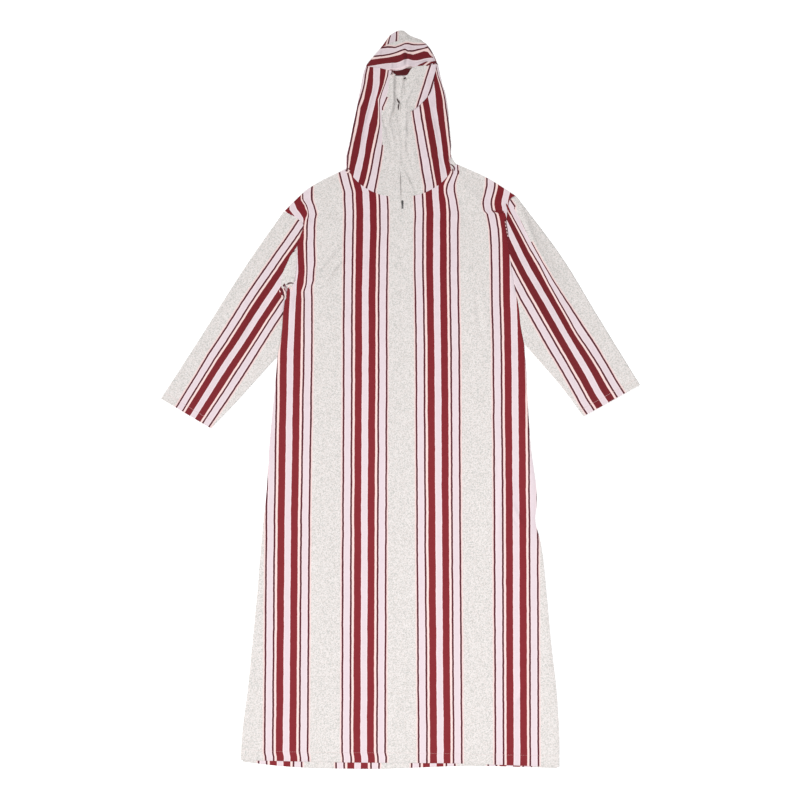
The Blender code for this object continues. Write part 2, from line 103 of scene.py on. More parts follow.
world = bpy.data.worlds.new("studio")
world.use_nodes = True
sky = world.node_tree.nodes["Background"].inputs
sky["Color"].default_value = (1, 1, 1, 1)
sky["Strength"].default_value = ROOM_LIGHT
bpy.context.scene.world = world

key = add("key", bpy.data.lights.new("key", "SUN"))
key.data.energy = KEY_LIGHT
key.data.angle = math.radians(KEY_SOFTNESS)
aim(key, KEY_PLACE)

low = add("low", bpy.data.lights.new("low", "AREA"))
low.data.size = LOW_SIZE
low.data.energy = LOW_LIGHT
aim(low, LOW_PLACE, LOW_TARGET)

bpy.context.scene.view_settings.view_transform = "Standard"


# The front. One panel of thin striped cotton with a round neck, widening from the armholes to
# the hem. Its stripes are woven in, run from shoulder to hem and repeat every 180 mm. The cloth
# lies on the back in soft folds, and its edges turn down where it is sewn to the other pieces.
MM = 0.001
CLOTH = 0.0008  # thickness of one layer
REPEAT = 0.1798  # from the middle of one group of stripes to the next
GROUP_EDGE = 0.0517  # from the middle of a group to its outermost line
ZIP_PIVOT = Vector((0.002, 1.329))  # of the garment; the joint's place in the frame
OFFSET = Vector(frame["joints"][0]["pos_m"]).xy - ZIP_PIVOT  # from the garment's millimetres to the frame
FRONT_HEIGHT = 0.0036
FRONT_STEP = 4.8

NECK_LEFT, NECK_FRONT, NECK_RIGHT = (-130, 1410), (0, 1341), (128, 1421)
TIP_LEFT, TIP_RIGHT = (-275, 1310), (268, 1346)
GUSSET_TOP, GUSSET_INNER = (-246, 1226), (-251, 1146)
UNDERARM_LEFT, UNDERARM_RIGHT = (-274, 1100), (265, 1135)
SLEEVE_END_LEFT, SLEEVE_END_RIGHT = (-291, 970), (288, 998)
SIDE_LEFT = (
    (-378, 21), (-373, 95), (-362, 180), (-350, 298), (-340, 400), (-324, 586), (-318, 640),
    (-316, 665), (-309, 777), (-298, 888), SLEEVE_END_LEFT,
)
SIDE_RIGHT = (
    (370, 4), (370, 84), (364, 183), (351, 298), (342, 397), (326, 535), (314, 589), (317, 615),
    (303, 761), (297, 850), SLEEVE_END_RIGHT,
)
UNDER_LEFT = (SLEEVE_END_LEFT, (-281, 1029), (-279, 1060), UNDERARM_LEFT)
UNDER_RIGHT = (SLEEVE_END_RIGHT, (280, 1040), (276, 1080), UNDERARM_RIGHT)
ARMHOLE_LEFT = (GUSSET_INNER, GUSSET_TOP, (-238, 1252), (-230, 1278), TIP_LEFT)
ARMHOLE_RIGHT = (UNDERARM_RIGHT, (261, 1160), (251, 1230), (246, 1271), (248, 1305), (252, 1333))
ARMHOLE_TIP_RIGHT = ((252, 1333), (256, 1340), TIP_RIGHT)
SHOULDER_LEFT = (TIP_LEFT, (-222, 1360), NECK_LEFT)
SHOULDER_RIGHT = (NECK_RIGHT, (203, 1387), TIP_RIGHT)
NECKLINE_LEFT = (NECK_LEFT, (-95, 1372), (-62, 1353), NECK_FRONT)
NECKLINE_RIGHT = (NECK_FRONT, (60, 1356), (95, 1378), NECK_RIGHT)
FRONT_HEM = ((-378, 21), (-156, 16), (173, 12), (370, 4))

FRONT_FOLDS = (
    # across, up, heading in degrees, length, half width, height
    (224, 643, 90, 420, 55, 2.6),
    (-177, 1189, 58, 190, 45, 2.4),
    (184, 1052, 92, 230, 45, 2.2),
    (166, 1330, -48, 150, 42, 2.4),
    (272, 590, -65, 190, 42, 2.4),
    (225, 256, 2, 320, 42, 1.6),
    (270, 180, 58, 150, 42, 2.2),
    (-200, 560, 91, 760, 70, 2),
    (95, 470, 89, 800, 75, 2),
    (-60, 900, 88, 500, 60, 1.6),
    (-252, 1085, 80, 120, 34, 2.6),
)
FRONT_CREASES = (
    (-168, 1196, 52, 110, 8, 4),
    (-188, 1180, 54, 120, 7, -3.6),
    (-150, 1170, 50, 90, 8, 3),
    (-205, 1150, 56, 80, 7, 1.9),
    (188, 1060, 96, 130, 14, -2.6),
    (168, 1348, -40, 80, 10, 2.1),
    (150, 1330, -52, 90, 10, -1.8),
    (224, 650, 91, 300, 9, -2.4),
    (238, 640, 89, 280, 8, 1.9),
    (276, 590, -64, 90, 6, 3.6),
    (268, 588, -62, 80, 6, -2.8),
    (210, 255, 1, 240, 10, 1.6),
    (278, 178, 55, 70, 8, 2.1),
    (-218, 1295, 118, 40, 6, 2.6),
    (-226, 1302, 118, 40, 5, -1.6),
    (-262, 1110, 100, 60, 7, 2.4),
    (-246, 1100, 80, 70, 7, -2.1),
    (226, 1314, 174, 70, 6, 2.4),
    (226, 1305, 174, 70, 6, -1.8),
)


def way_along(line):
    """How far along a line each of its points is."""
    return np.concatenate([[0], np.cumsum(np.hypot(*np.diff(line, axis=0).T))])


def points_at(places, way, line):
    return np.stack([np.interp(places, way, line[:, axis]) for axis in (0, 1)], -1)


def smooth_line(rows, count=24):
    """A dense soft curve through the rows of points, in metres."""
    rows = np.array(rows, float) * MM
    if len(rows) == 2:
        return rows
    along = way_along(rows)
    slope = np.gradient(rows, along, axis=0)
    at = np.linspace(0, along[-1], count * len(rows))
    start = np.clip(np.searchsorted(along, at, side="right") - 1, 0, len(rows) - 2)
    span = (along[start + 1] - along[start])[:, None]
    t = (at - along[start])[:, None] / span
    from_start = (2 * t**3 - 3 * t**2 + 1) * rows[start] + (t**3 - 2 * t**2 + t) * slope[start] * span
    to_end = (3 * t**2 - 2 * t**3) * rows[start + 1] + (t**3 - t**2) * slope[start + 1] * span
    return from_start + to_end


def edge(parts, shares, by_width=False):
    """Points at those shares of the way along the parts, soft curves that meet at corners."""
    line = np.concatenate([smooth_line(part) for part in parts])
    way = way_along(line * (1, 0) if by_width else line)
    return points_at(shares * way[-1], way, line)


def coons(bottom, right, top, left, across, upward, bend=1):
    """Rows of points that fill the outline between four edges. Bend keeps the top's shape near it."""
    u, v = across[None, :, None], upward[:, None, None] ** bend
    rows = bottom[None] * (1 - v) + top[None] * v
    sides = left[:, None] * (1 - u) + right[:, None] * u
    ends = (bottom[0] * (1 - u) + bottom[-1] * u) * (1 - v) + (top[0] * (1 - u) + top[-1] * u) * v
    return rows + sides - ends


def shares_for(parts, step):
    """Even shares of the parts' length, about a step, in mm, from each other."""
    length = way_along(np.concatenate([smooth_line(part) for part in parts]))[-1]
    return np.linspace(0, 1, max(2, round(length / (step * MM))) + 1)


def patch(bottom, right, top, left, step, counted):
    """A grid about a step apart inside four edges, with as many columns as the counted parts take."""
    across, upward = shares_for(counted, step), shares_for(left, step)
    return coons(
        edge(bottom, across), edge(right, upward), edge(top, across), edge(left, upward),
        across, upward,
    )


def lift(folds, flat):
    """How high the folds raise the cloth at each point, in metres."""
    x, y = flat[..., 0], flat[..., 1]
    height = np.zeros(x.shape)
    for across, up, heading, length, half_width, rise in folds:
        dx, dy = x - across * MM, y - up * MM
        run, side = math.cos(math.radians(heading)), math.sin(math.radians(heading))
        along = np.clip(np.abs(dx * run + dy * side) / (length * MM / 2), 0, 1)
        beside = np.clip(np.abs(dx * side - dy * run) / (half_width * MM), 0, 1)
        height += rise * MM * np.cos(np.pi / 2 * along) * np.cos(np.pi / 2 * beside) ** 2
    return height


def ripple(flat, size, height, seed):
    """Slow unevenness of the cloth: its size along the cloth in mm, and its height in mm."""
    scaled = flat.reshape(-1, 2) / (size * MM)
    values = [noise.noise(Vector((x, y, seed))) for x, y in scaled.tolist()]
    return np.array(values).reshape(flat.shape[:-1]) * height * MM


def from_edge(grid, side):
    """How far each point of the grid is from one side of it, along the grid, in metres."""
    axis = 1 if side in ("left", "right") else 0
    steps = np.linalg.norm(np.diff(grid, axis=axis), axis=-1)
    pad = np.zeros_like(np.take(steps, [0], axis=axis))
    if side in ("left", "bottom"):
        return np.cumsum(np.concatenate([pad, steps], axis), axis)
    return np.flip(np.cumsum(np.flip(np.concatenate([steps, pad], axis), axis), axis), axis)


def turn_down(grid, turns):
    """How far the cloth's edges turn down: side, depth and reach in mm, for each turned side."""
    down = np.zeros(grid.shape[:2])
    for side, depth, reach in turns:
        away = np.clip(from_edge(grid, side) / (reach * MM), 0, 1)
        down = np.maximum(down, depth * MM * (1 - np.sqrt(1 - (1 - away) ** 2)))
    return down


def woven_across(table, marks, run, at):
    """Where a point lies across the weave. A table's rows give, for each run, where the marks are."""
    table = np.array(sorted(table), float) * MM
    found = [np.interp(run, table[:, 0], table[:, column + 1]) for column in range(len(marks))]
    across = marks[0] + at - found[0]
    for column in range(len(marks) - 1):
        share = (at - found[column]) / (found[column + 1] - found[column])
        between = marks[column] + share * (marks[column + 1] - marks[column])
        across = np.where(at > found[column], between, across)
    return np.where(at > found[-1], marks[-1] + at - found[-1], across)


def cloth(name, patches, thickness=CLOTH, ring=False):
    """Sheets through rows of points, the first a tube if its rows are rings, with their weave as UVs."""

    def corners_of(values):
        return np.stack([values[:-1, :-1], values[:-1, 1:], values[1:, 1:], values[1:, :-1]], 2)

    points, faces, woven_at, count = [], [], [], 0
    for places, weave in patches:
        rows, columns = places.shape[:2]
        index = np.arange(rows * columns).reshape(rows, columns) + count
        if ring and count == 0:
            index = np.hstack([index, index[:, :1]])
        count += rows * columns
        points.append(places.reshape(-1, 3) + np.array([*OFFSET, 0]))
        faces.append(corners_of(index).reshape(-1, 4))
        woven_at.append(corners_of(weave).ravel())
    mesh = bpy.data.meshes.new(name)
    mesh.from_pydata(np.concatenate(points).tolist(), [], np.concatenate(faces).tolist())
    woven = mesh.uv_layers.new(name="weave")
    woven.data.foreach_set("uv", np.concatenate(woven_at))
    mesh.shade_smooth()
    shape = bmesh.new()
    shape.from_mesh(mesh)
    for side in shape.edges:
        side.smooth = not side.is_boundary
    shape.to_mesh(mesh)
    shape.free()
    piece = add(name, mesh)
    wall = piece.modifiers.new("wall", "SOLIDIFY")
    wall.thickness = thickness
    wall.offset = -1
    return piece


def unit(ways):
    return ways / np.linalg.norm(ways, axis=1)[:, None]


def to_the_right(path):
    """The direction to the right of a path at each of its points."""
    way = unit(np.gradient(path, axis=0))
    return np.stack([way[:, 1], -way[:, 0]], -1)


def roll(line, half_width, base, rise, across):
    """A small ridge of cloth along a line of points, thin at both ends, at one place of the weave."""
    path = smooth_line(line, 12) if len(line) > 2 else np.linspace(*(np.array(line, float) * MM), 16)
    share = np.linspace(0, 1, len(path))
    width = half_width * MM * np.sqrt(np.clip(1 - (2 * share - 1) ** 2, 0.02, 1))
    steps = np.linspace(-1, 1, 7)
    flat = path[:, None] + to_the_right(path)[:, None] * (width[:, None] * steps)[..., None]
    arch = np.sqrt(1 - 0.98 * steps[None] ** 2) * (width / width.max())[:, None]
    height = (base + rise * arch) * MM
    weave = np.dstack([np.full(height.shape, across), flat[..., 1]])
    return np.dstack([flat, height]), weave


LAP_ACROSS = 0.09  # laps are of the ground, half a repeat from a group's middle


def lap(line, width, rise, height_at):
    """A fold of cloth that laps over what is on its left: its edge, and how wide it is, in mm."""
    path = smooth_line(line, 14)[::-1]
    steps = np.array([0, 0.02, 0.06, 0.12, 0.25, 0.4, 0.55, 0.7, 0.85, 1])
    profile = np.array([0.1, 0.62, 0.92, 1, 0.86, 0.6, 0.36, 0.17, 0.05, -0.06])
    held = np.clip(np.sin(np.linspace(0, np.pi, len(path))), 0, 1)[:, None] ** 0.6
    flat = path[:, None] + to_the_right(path)[:, None] * (width * MM * steps)[:, None]
    height = height_at(flat) + rise * MM * (profile * held - 0.25 * (1 - held))
    weave = np.dstack([LAP_ACROSS + flat[..., 0] - path[:1, :1], flat[..., 1]])
    return np.dstack([flat, height]), weave


class Value:
    """A socket of a material's nodes, on which sums are written as on a number."""

    def __init__(self, tree, socket=None):
        self.tree = tree
        self.socket = socket

    def node(self, kind, sockets=(), output=0, **settings):
        made = self.tree.nodes.new("ShaderNode" + kind)
        for setting, choice in settings.items():
            setattr(made, setting, choice)
        for place, given in dict(sockets).items():
            if isinstance(given, Value):
                self.tree.links.new(given.socket, made.inputs[place])
            else:
                made.inputs[place].default_value = given
        return Value(self.tree, made.outputs[output])

    def maths(self, operation, first, second=0.0, clamp=False):
        return self.node("Math", {0: first, 1: second}, operation=operation, use_clamp=clamp)

    def __add__(self, other):
        return self.maths("ADD", self, other)

    __radd__ = __add__

    def __sub__(self, other):
        return self.maths("SUBTRACT", self, other)

    def __rsub__(self, other):
        return self.maths("SUBTRACT", other, self)

    def __mul__(self, other):
        return self.maths("MULTIPLY", self, other)

    __rmul__ = __mul__

    def __truediv__(self, other):
        return self.maths("DIVIDE", self, other)

    def __mod__(self, other):
        return self.maths("FLOORED_MODULO", self, other)

    def __abs__(self):
        return self.maths("ABSOLUTE", self)

    def sine(self):
        return self.maths("SINE", self)

    def over(self, limit, ramp):
        """1 above the limit and 0 where it is lower than that by the ramp or more."""
        return self.maths("ADD", (self - limit) / ramp, 1, clamp=True)

    def between(self, low, high, ramp):
        return self.over(low, ramp) - self.over(high, ramp)

    def mix(self, first, second):
        """The first colour where this is 0 and the second where it is 1."""
        sockets = {"Factor": self, 6: first, 7: second}
        return self.node("Mix", sockets, output=2, data_type="RGBA")

    def feeds(self, shader, place):
        self.tree.links.new(self.socket, shader.inputs[place])

    def noise(self, scale, detail=2.0, roughness=0.5):
        sockets = {"Vector": self, "Scale": scale, "Detail": detail, "Roughness": roughness}
        return self.node("TexNoise", sockets)


LIGHT_LEVEL = 1.39  # how bright white cloth on the lower half of the robe is in this light


def colour(red, green, blue):
    """What a dye reflects, from the 8-bit colour that it has in this light."""
    parts = [part / 255 for part in (red, green, blue)]
    linear = [p / 12.92 if p <= 0.04045 else ((p + 0.055) / 1.055) ** 2.4 for p in parts]
    return (*(part / LIGHT_LEVEL for part in linear), 1)


GROUND = colour(240, 234, 232)
GROUND_GREY = colour(178, 182, 177)
GROUND_PINK = colour(212, 200, 194)
LAVENDER = colour(234, 218, 224)
PALE_EDGE = colour(253, 232, 236)
CREAM = colour(255, 226, 222)
PINK_EDGE = colour(248, 220, 217)
WIDE_RED = colour(141, 39, 47)
# the reds' darker colour: painted shade towards the top, and random darker patches
DEEP_RED = colour(127, 23, 34)
THIN_RED = colour(90, 28, 41)
THREAD = 0.0007  # from one thread of the weave to the next
LINE_SOFT = 0.0007  # over which one colour of thread gives way to the next

BANDS = (
    # on each side of a group's middle: nearest, farthest, colour
    (-1, 0.0083, LAVENDER),
    (0.006, 0.0083, PALE_EDGE),
    (0.0238, 0.03, CREAM),
    (0.033, 0.0495, LAVENDER),
    (0.033, 0.0352, PALE_EDGE),
    (0.0466, 0.0495, PALE_EDGE),
    (0.052, 0.0558, PINK_EDGE),
    (0.0079, 0.0244, WIDE_RED),
    (0.0294, 0.0337, THIN_RED),
    (0.0484, 0.0527, THIN_RED),
)


def weave_material(name, striped=True, shade=1.0, red=0.94):
    """Woven cotton: a flecked ground, with the groups of stripes if it is the striped cloth. Shade
    darkens all of it and red its reds, which on the sleeves' and the hood's copies is painted shade.
    """
    material, shader = new_finish(name, 0.88)
    maker = Value(material.node_tree)
    place = maker.node("UVMap", uv_map="weave")
    across = maker.node("SeparateXYZ", {0: place})
    along = maker.node("SeparateXYZ", {0: place}, output=1)

    nubs = maker.node("TexVoronoi", {"Vector": place, "Scale": 600}, output=1)
    nub = maker.node("SeparateColor", {0: nubs})
    other_nub = maker.node("SeparateColor", {0: nubs}, output=1)
    grey = (nub * 0.5 + place.noise(300, 4, 0.7)).over(0.93, 0.2)
    pink = (other_nub * 0.5 + place.noise(200, 4, 0.65)).over(0.96, 0.2)
    shown = (grey * 0.66).mix(GROUND, GROUND_GREY)
    shown = (pink * 0.45).mix(shown, GROUND_PINK)
    upward = maker.node("SeparateXYZ", {0: maker.node("TexCoord", output=3)}, output=1)
    # Painted shade: this rises towards the top of the robe, and the colours darken with it
    painted_shade_towards_top = upward.over(0.55, 0.7)
    worn = place.noise(40, 4, 0.6)
    crepe = place.noise(240, 3, 0.6)

    if striped:
        slow = maker.node("CombineXYZ", {0: along * 14, 1: across * 20}).noise(1, 2, 0.5)
        quick = maker.node("CombineXYZ", {0: along * 75, 1: across * 40}).noise(1, 2, 0.6)
        frayed = place.noise(900, 2, 0.6)
        shifted = across + (slow - 0.5) * 0.0022 + (quick - 0.5) * 0.0016 + (frayed - 0.5) * 0.0012
        middle = (shifted / REPEAT + 0.5) % 1
        away = abs(middle - 0.5) * REPEAT
        # red darkens both reds; on the sleeves' and the hood's copies this is painted shade
        reds = [(*(part * red for part in dye[:3]), 1) for dye in (WIDE_RED, DEEP_RED)]
        # The wide red stripes turn deep red towards the top as painted shade, and vary at random with the
        # crepe
        wide_red = (painted_shade_towards_top + (crepe - 0.5) * 2.4).mix(*reds)
        for nearest, farthest, band in BANDS:
            band = wide_red if band is WIDE_RED else band
            shown = away.between(nearest, farthest, LINE_SOFT).mix(shown, band)

    threads = (across * (2 * math.pi / THREAD)).sine() * (along * (2 * math.pi / THREAD)).sine()
    # A random darker tone from the wear, threads, crepe and nubs, and painted shade towards the top
    tint = (worn * 0.5 + threads * 0.08 + crepe * 0.3 + other_nub * 0.25 - painted_shade_towards_top * 0.2).over(0.52, 0.5)
    darker = maker.node("HueSaturation", {"Color": shown, "Value": 0.86, "Saturation": 1.05})
    shown = tint.mix(darker, shown)
    # Painted shade: a whole copy of the cloth darkened for a part that lies in shade
    if shade < 1:
        shown = maker.node("HueSaturation", {"Color": shown, "Value": shade})
    shown.feeds(shader, "Base Color")
    shader.inputs["Sheen Weight"].default_value = 0.12
    shader.inputs["Specular IOR Level"].default_value = 0.25
    relief = threads * 0.12 + crepe * 0.7 + worn * 0.5
    bump = maker.node("Bump", {"Strength": 0.35, "Distance": 0.0006, "Height": relief})
    bump.feeds(shader, "Normal")
    return material


STRIPED = weave_material("striped_cotton")
# The sleeves' copies: darker reds, and on the right sleeve a darker colour overall, as painted shade
LEFT_CLOTH = weave_material("striped_cotton_of_the_left_sleeve", red=0.85)
RIGHT_CLOTH = weave_material("striped_cotton_of_the_right_sleeve", shade=0.98, red=0.74)
PLAIN = weave_material("flecked_cotton", striped=False)
# Painted shade: the hood's inner layer under the brow, darkened to less than half
INSIDE_IN_PAINTED_SHADE = weave_material("striped_cotton_inside_in_painted_shade", shade=0.4)
# The peak's, the crown's and the hood's copies, darker overall and in their reds: painted shade
PEAK = weave_material("striped_cotton_of_the_peak", shade=0.86)
CROWN = weave_material("striped_cotton_of_the_crown", shade=0.93, red=0.8)
HOOD = weave_material("striped_cotton_of_the_hood", shade=0.98, red=0.86)


def dress(piece, nodes, material):
    """Gives a piece of cloth its finish, hangs it on the robe and hides the parts of the frame that it
    stands for.
    """
    piece.data.materials.append(material)
    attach(piece, "robe")
    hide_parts(*nodes)


MIDDLE_MARKS = (-0.0317, -0.024, -0.0082, 0.0082, 0.024, 0.0317)
FIRST_LINES = (
    # up, across of six marks of the first group: the sides of its two wide stripes, the next
    # thin line and the outermost one
    (1337, -290, -273, -255, -236, -232, -210),
    (1325, -278, -263, -249, -228, -224, -206),
    (1313, -274, -264, -243, -223, -220, -202),
    (1301, -263, -254, -234, -219.5, -218.5, -200),
    (1292, -254, -248, -229, -227, -220, -203),
    (1283, -247, -243, -230, -228, -221, -203),
    (1273, -249, -242, -233, -230, -221, -204),
    (1254, -264, -256, -240, -229, -221, -204),
    (1235, -276, -260, -244, -230, -223, -205),
    (1189, -275, -259, -243, -228, -222, -203),
    (1168, -274, -258, -242, -227, -222, -206),
    (1146, -277, -261, -245, -229, -223, -207),
    (1135, -279, -263, -246, -231, -224, -211),
    (1120, -277, -262, -246, -236, -229, -211),
    (1102, -275, -263, -248, -235, -228, -210),
    (984, -285, -269, -253, -237, -229, -210),
    (585, -291, -275, -259, -243, -235, -216),
    (44, -295, -279, -263, -247, -239, -220),
)
FIRST_MARKS = (*MIDDLE_MARKS[1:], 0.0507)
OTHER_LINES = (
    # up, across of the outermost lines of the second group; of the third: its left one, the
    # sides of its right wide stripe and its two right lines; the fourth's outermost lines
    (1414, -148, -46, 44, 105, 117.5, 121, 132, 200, 302),
    (1400, -146, -44, 36, 98, 115, 121.5, 133, 200, 302),
    (1388, -143, -42, 28, 92, 107, 116, 129, 200, 301),
    (1372, -139, -38, 25, 87.7, 99, 108.6, 124, 200, 301),
    (1355, -134, -34, 29, 87.7, 99.4, 105.3, 125, 197, 298),
    (1337, -134, -32, 30, 89, 103.9, 110.4, 129, 192, 294),
    (1327, -133.7, -31.7, 30.6, 89.6, 104.4, 111.5, 130.6, 191, 293),
    (1310, -133, -31, 31.7, 90.7, 105.3, 113.3, 133.4, 194, 296),
    (1305, -133, -31, 32, 91, 105.5, 113.7, 134, 200.5, 302.5),
    (1290, -133, -31, 31.6, 90.8, 105.8, 113.8, 133.6, 204, 306),
    (1266, -133, -31, 31, 90.5, 106.3, 114, 133, 208, 310),
    (1231, -134, -32, 31, 90.5, 106.3, 114, 133, 210, 312),
    (1172, -135, -33, 31, 90.5, 106.3, 114, 133, 211, 313),
    (1102, -136, -34, 32, 91.5, 107.3, 115, 134, 212, 314),
    (984, -136, -34, 34, 93.5, 109.3, 117, 136, 215, 317),
    (585, -138, -36, 36, 95.5, 111.3, 119, 138, 218, 320),
    (44, -140, -38, 40, 99.5, 115.3, 123, 142, 220, 322),
)
OTHER_MARKS = (0.1291, 0.2305, 0.3089, 0.3678, 0.3836, 0.3913, 0.4103, 0.4887, 0.5901)
FIRST_END = -0.178
HEM_SEAM, HEM_BEND = 0.04, 0.0024  # the left half of the turned-up hem is sewn a little askew


def front_weave(x, y):
    x = x - np.where(x < 0, HEM_BEND, 0) * np.clip((HEM_SEAM - y) / 0.012, 0, 1)
    first = woven_across(FIRST_LINES, FIRST_MARKS, y, x)
    other = woven_across(OTHER_LINES, OTHER_MARKS, y, x)
    return np.dstack([np.where(x < FIRST_END, first, other), y])


HEM_RISE = 0.0018  # over the turned-up hem of the back
HEM_FLAT, HEM_RAMP = 0.042, 0.075


def front_height(place):
    over_hem = np.clip((HEM_FLAT + HEM_RAMP - place[..., 1]) / HEM_RAMP, 0, 1)
    level = FRONT_HEIGHT + HEM_RISE * (3 - 2 * over_hem) * over_hem**2 + lift(FRONT_FOLDS, place)
    return level + ripple(place, 60, 0.7, 1.5) + ripple(place, 24, 0.3, 2.5)


HEM_WIDTH = 748  # mm
ZIP_DIP = 0.0009  # the two edges at the closed zip turn in
ZIP_HALF_WIDTH = 0.0026
ZIP_BOTTOM, ZIP_START = 1.061, 0.012  # where it ends below, and over how much it sinks in
ZIP_COLUMNS = (-4.2, -2.6, -1.6, -0.8, 0, 0.8, 1.6, 2.6, 4.2)  # mm from it
ZIP_CLEAR = 0.009  # no other column of the grid comes nearer, as a share of the hem
FRONT_TURNS = (("left", 1.3, 8), ("right", 1.3, 8), ("top", 0.12, 3), ("bottom", 1.4, 7))
KEEP_TOP = 4  # rows take up the top's shape only near it
WARP = 14  # how far the creases wander, in mm


def panel(hem, sides, top, across, upward):
    """The grid of a panel of the body, between its left and right sides."""
    low, high = edge((hem,), across, by_width=True), edge(top, across, by_width=True)
    return coons(low, edge(sides[1], upward), high, edge(sides[0], upward), across, upward, KEEP_TOP)


UNDERARM_CORNER = (UNDERARM_LEFT, (-271, 1119), (-268, 1133), (-262, 1138), GUSSET_INNER)
front_sides = ((SIDE_LEFT, UNDER_LEFT, UNDERARM_CORNER, ARMHOLE_LEFT),
               (SIDE_RIGHT, UNDER_RIGHT, ARMHOLE_RIGHT, ARMHOLE_TIP_RIGHT))
front_top = (SHOULDER_LEFT, NECKLINE_LEFT, NECKLINE_RIGHT, SHOULDER_RIGHT)
upward = shares_for(front_sides[0], FRONT_STEP)
zip_share = -TIP_LEFT[0] / (TIP_RIGHT[0] - TIP_LEFT[0])
near_zip = zip_share + np.array(ZIP_COLUMNS) / HEM_WIDTH
across = shares_for((FRONT_HEM,), FRONT_STEP)
across = np.sort(np.concatenate([across[np.abs(across - zip_share) > ZIP_CLEAR], near_zip]))
front_flat = panel(FRONT_HEM, front_sides, front_top, across, upward)
x, y = front_flat[..., 0], front_flat[..., 1]
wander = [ripple(front_flat, 90, WARP, 3.5), ripple(front_flat, 110, WARP, 7.5)]
height = front_height(front_flat) + lift(FRONT_CREASES, front_flat + np.stack(wander, -1))
height -= turn_down(front_flat, FRONT_TURNS)
in_zip = np.clip((y - ZIP_BOTTOM) / ZIP_START, 0, 1)
height -= in_zip * ZIP_DIP * np.clip(1 - np.abs(x) / ZIP_HALF_WIDTH, 0, 1) ** 1.5
TUCKS = (
    # crumpled cloth under the left arm, at the neck seam's ends and at the right shoulder, some painted
    # dark for shade: each ridge's line, its half width, base and rise in mm, and its place in the weave
    (((-284, 1130), (-280, 1122), (-275, 1107)), 2, 5.5, 1.2, 0.0507),
    (((-287, 1125), (-282, 1114), (-278, 1103)), 1.6, 5.2, 0.9, 0.027),
    (((-279, 1131), (-275, 1121), (-272, 1107)), 1.7, 5.4, 1, 0.027),
    # painted shade in the inside of the pleat under the arm
    (((-275, 1137), (-271, 1128), (-268, 1116)), 3.2, 4.8, 0.8, 0.0332),
    (((-270, 1137), (-265, 1140.5), (-253, 1141)), 1.4, 5.6, 1.1, 0.0507),
    (((-278, 1133), (-274, 1140)), 1.8, 5.3, 1, 0.0507),
    (((-267, 1131), (-261, 1137)), 2.2, 5.4, 0.9, 0.027),
    (((-264, 1135), (-258, 1130), (-257, 1120)), 1.6, 4.4, 0.8, 0.027),
    (((114.5, 1420.5), (120, 1417), (124.5, 1411), (123, 1404)), 1.5, 3.9, 1, 0.0507),
    (((131, 1407.5), (133.5, 1405), (133.5, 1396)), 1.4, 3.9, 1, 0.0507),
    (((-132, 1404), (-128, 1408), (-122, 1411)), 1.2, 4.2, 1, 0.0507),
    (((-130, 1399), (-121, 1406)), 1.7, 4.2, 0.8, 0.027),
    (((-256, 1213), (-249, 1217.5)), 0.8, 5.2, 0.5, 0.0507),
    (((245.5, 1328), (251, 1315), (257, 1302)), 2.3, 4.2, 1.2, 0.016),
    # a painted shadow in the right armhole's seam, in the thin red line's colour
    (((242.5, 1292), (244, 1284), (246.5, 1270), (251, 1246)), 2.1, 4, 0.9, 0.0317),
    # under the right shoulder's pleat: partly the red stripe, partly painted shade beneath the pleat
    (((215, 1311), (226, 1308), (241, 1309.5)), 1.5, 5.6, 1, 0.016),
)
tucks = [roll(*row) for row in TUCKS]
front = cloth("front", [(np.dstack([front_flat, height]), front_weave(x, y)), *tucks])

thread_paint, thread_shader = new_finish("pale_thread", 0.7)
twist = Value(thread_paint.node_tree).node("TexCoord", output=3).noise(2600, 2, 0.5)
twist.mix(colour(212, 170, 168), colour(240, 212, 208)).feeds(thread_shader, "Base Color")
STITCH, STITCH_GAP = 2.6, 1.3  # mm


def stitches(name, line, width, height_at, stitch=STITCH, gap=STITCH_GAP):
    """A row of short straight stitches of pale thread, lying on the cloth."""
    path = smooth_line(line, 40)
    way = way_along(path)
    ends = np.arange(0, way[-1] - stitch * MM, (stitch + gap) * MM)
    points, faces = [], []
    for start in ends:
        first_end, last_end = points_at((start, start + stitch * MM), way, path)
        run = last_end - first_end
        side = np.array([run[1], -run[0]]) / np.hypot(*run) * width * MM / 2
        first = len(points)
        for share, rise in ((0, 0.05), (0.2, 0.3), (0.8, 0.3), (1, 0.05)):
            middle = first_end + run * share
            level = float(height_at(middle[None])[0])
            for offset, above in ((-1, 0.0), (0, rise), (1, 0.0)):
                place = middle + side * offset + np.array(OFFSET)
                points.append((*place, level + above * MM))
        for step in range(3):
            for column in range(2):
                corner = first + step * 3 + column
                faces.append((corner, corner + 3, corner + 4, corner + 1))
    mesh = bpy.data.meshes.new(name)
    mesh.from_pydata(points, [], faces)
    mesh.materials.append(thread_paint)
    row = add(name, mesh)
    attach(row, "robe")
    return row


HEM_STITCHES = ((-374, 46), (-300, 42), (-156, 39), (0, 38), (173, 35), (366, 31))
ARMHOLE_STITCHES = ((243.5, 1286), (246, 1270), (250.5, 1249))
ARMHOLE_HEIGHT = 0.0051
hem_thread = stitches("hem_thread", HEM_STITCHES, 0.42, front_height)
armhole_thread = stitches(
    "armhole_thread", ARMHOLE_STITCHES, 2.0, lambda place: np.full(place.shape[:-1], ARMHOLE_HEIGHT),
    stitch=4.6, gap=3.4,
)
dress(
    front, ["body_front"], STRIPED,
)


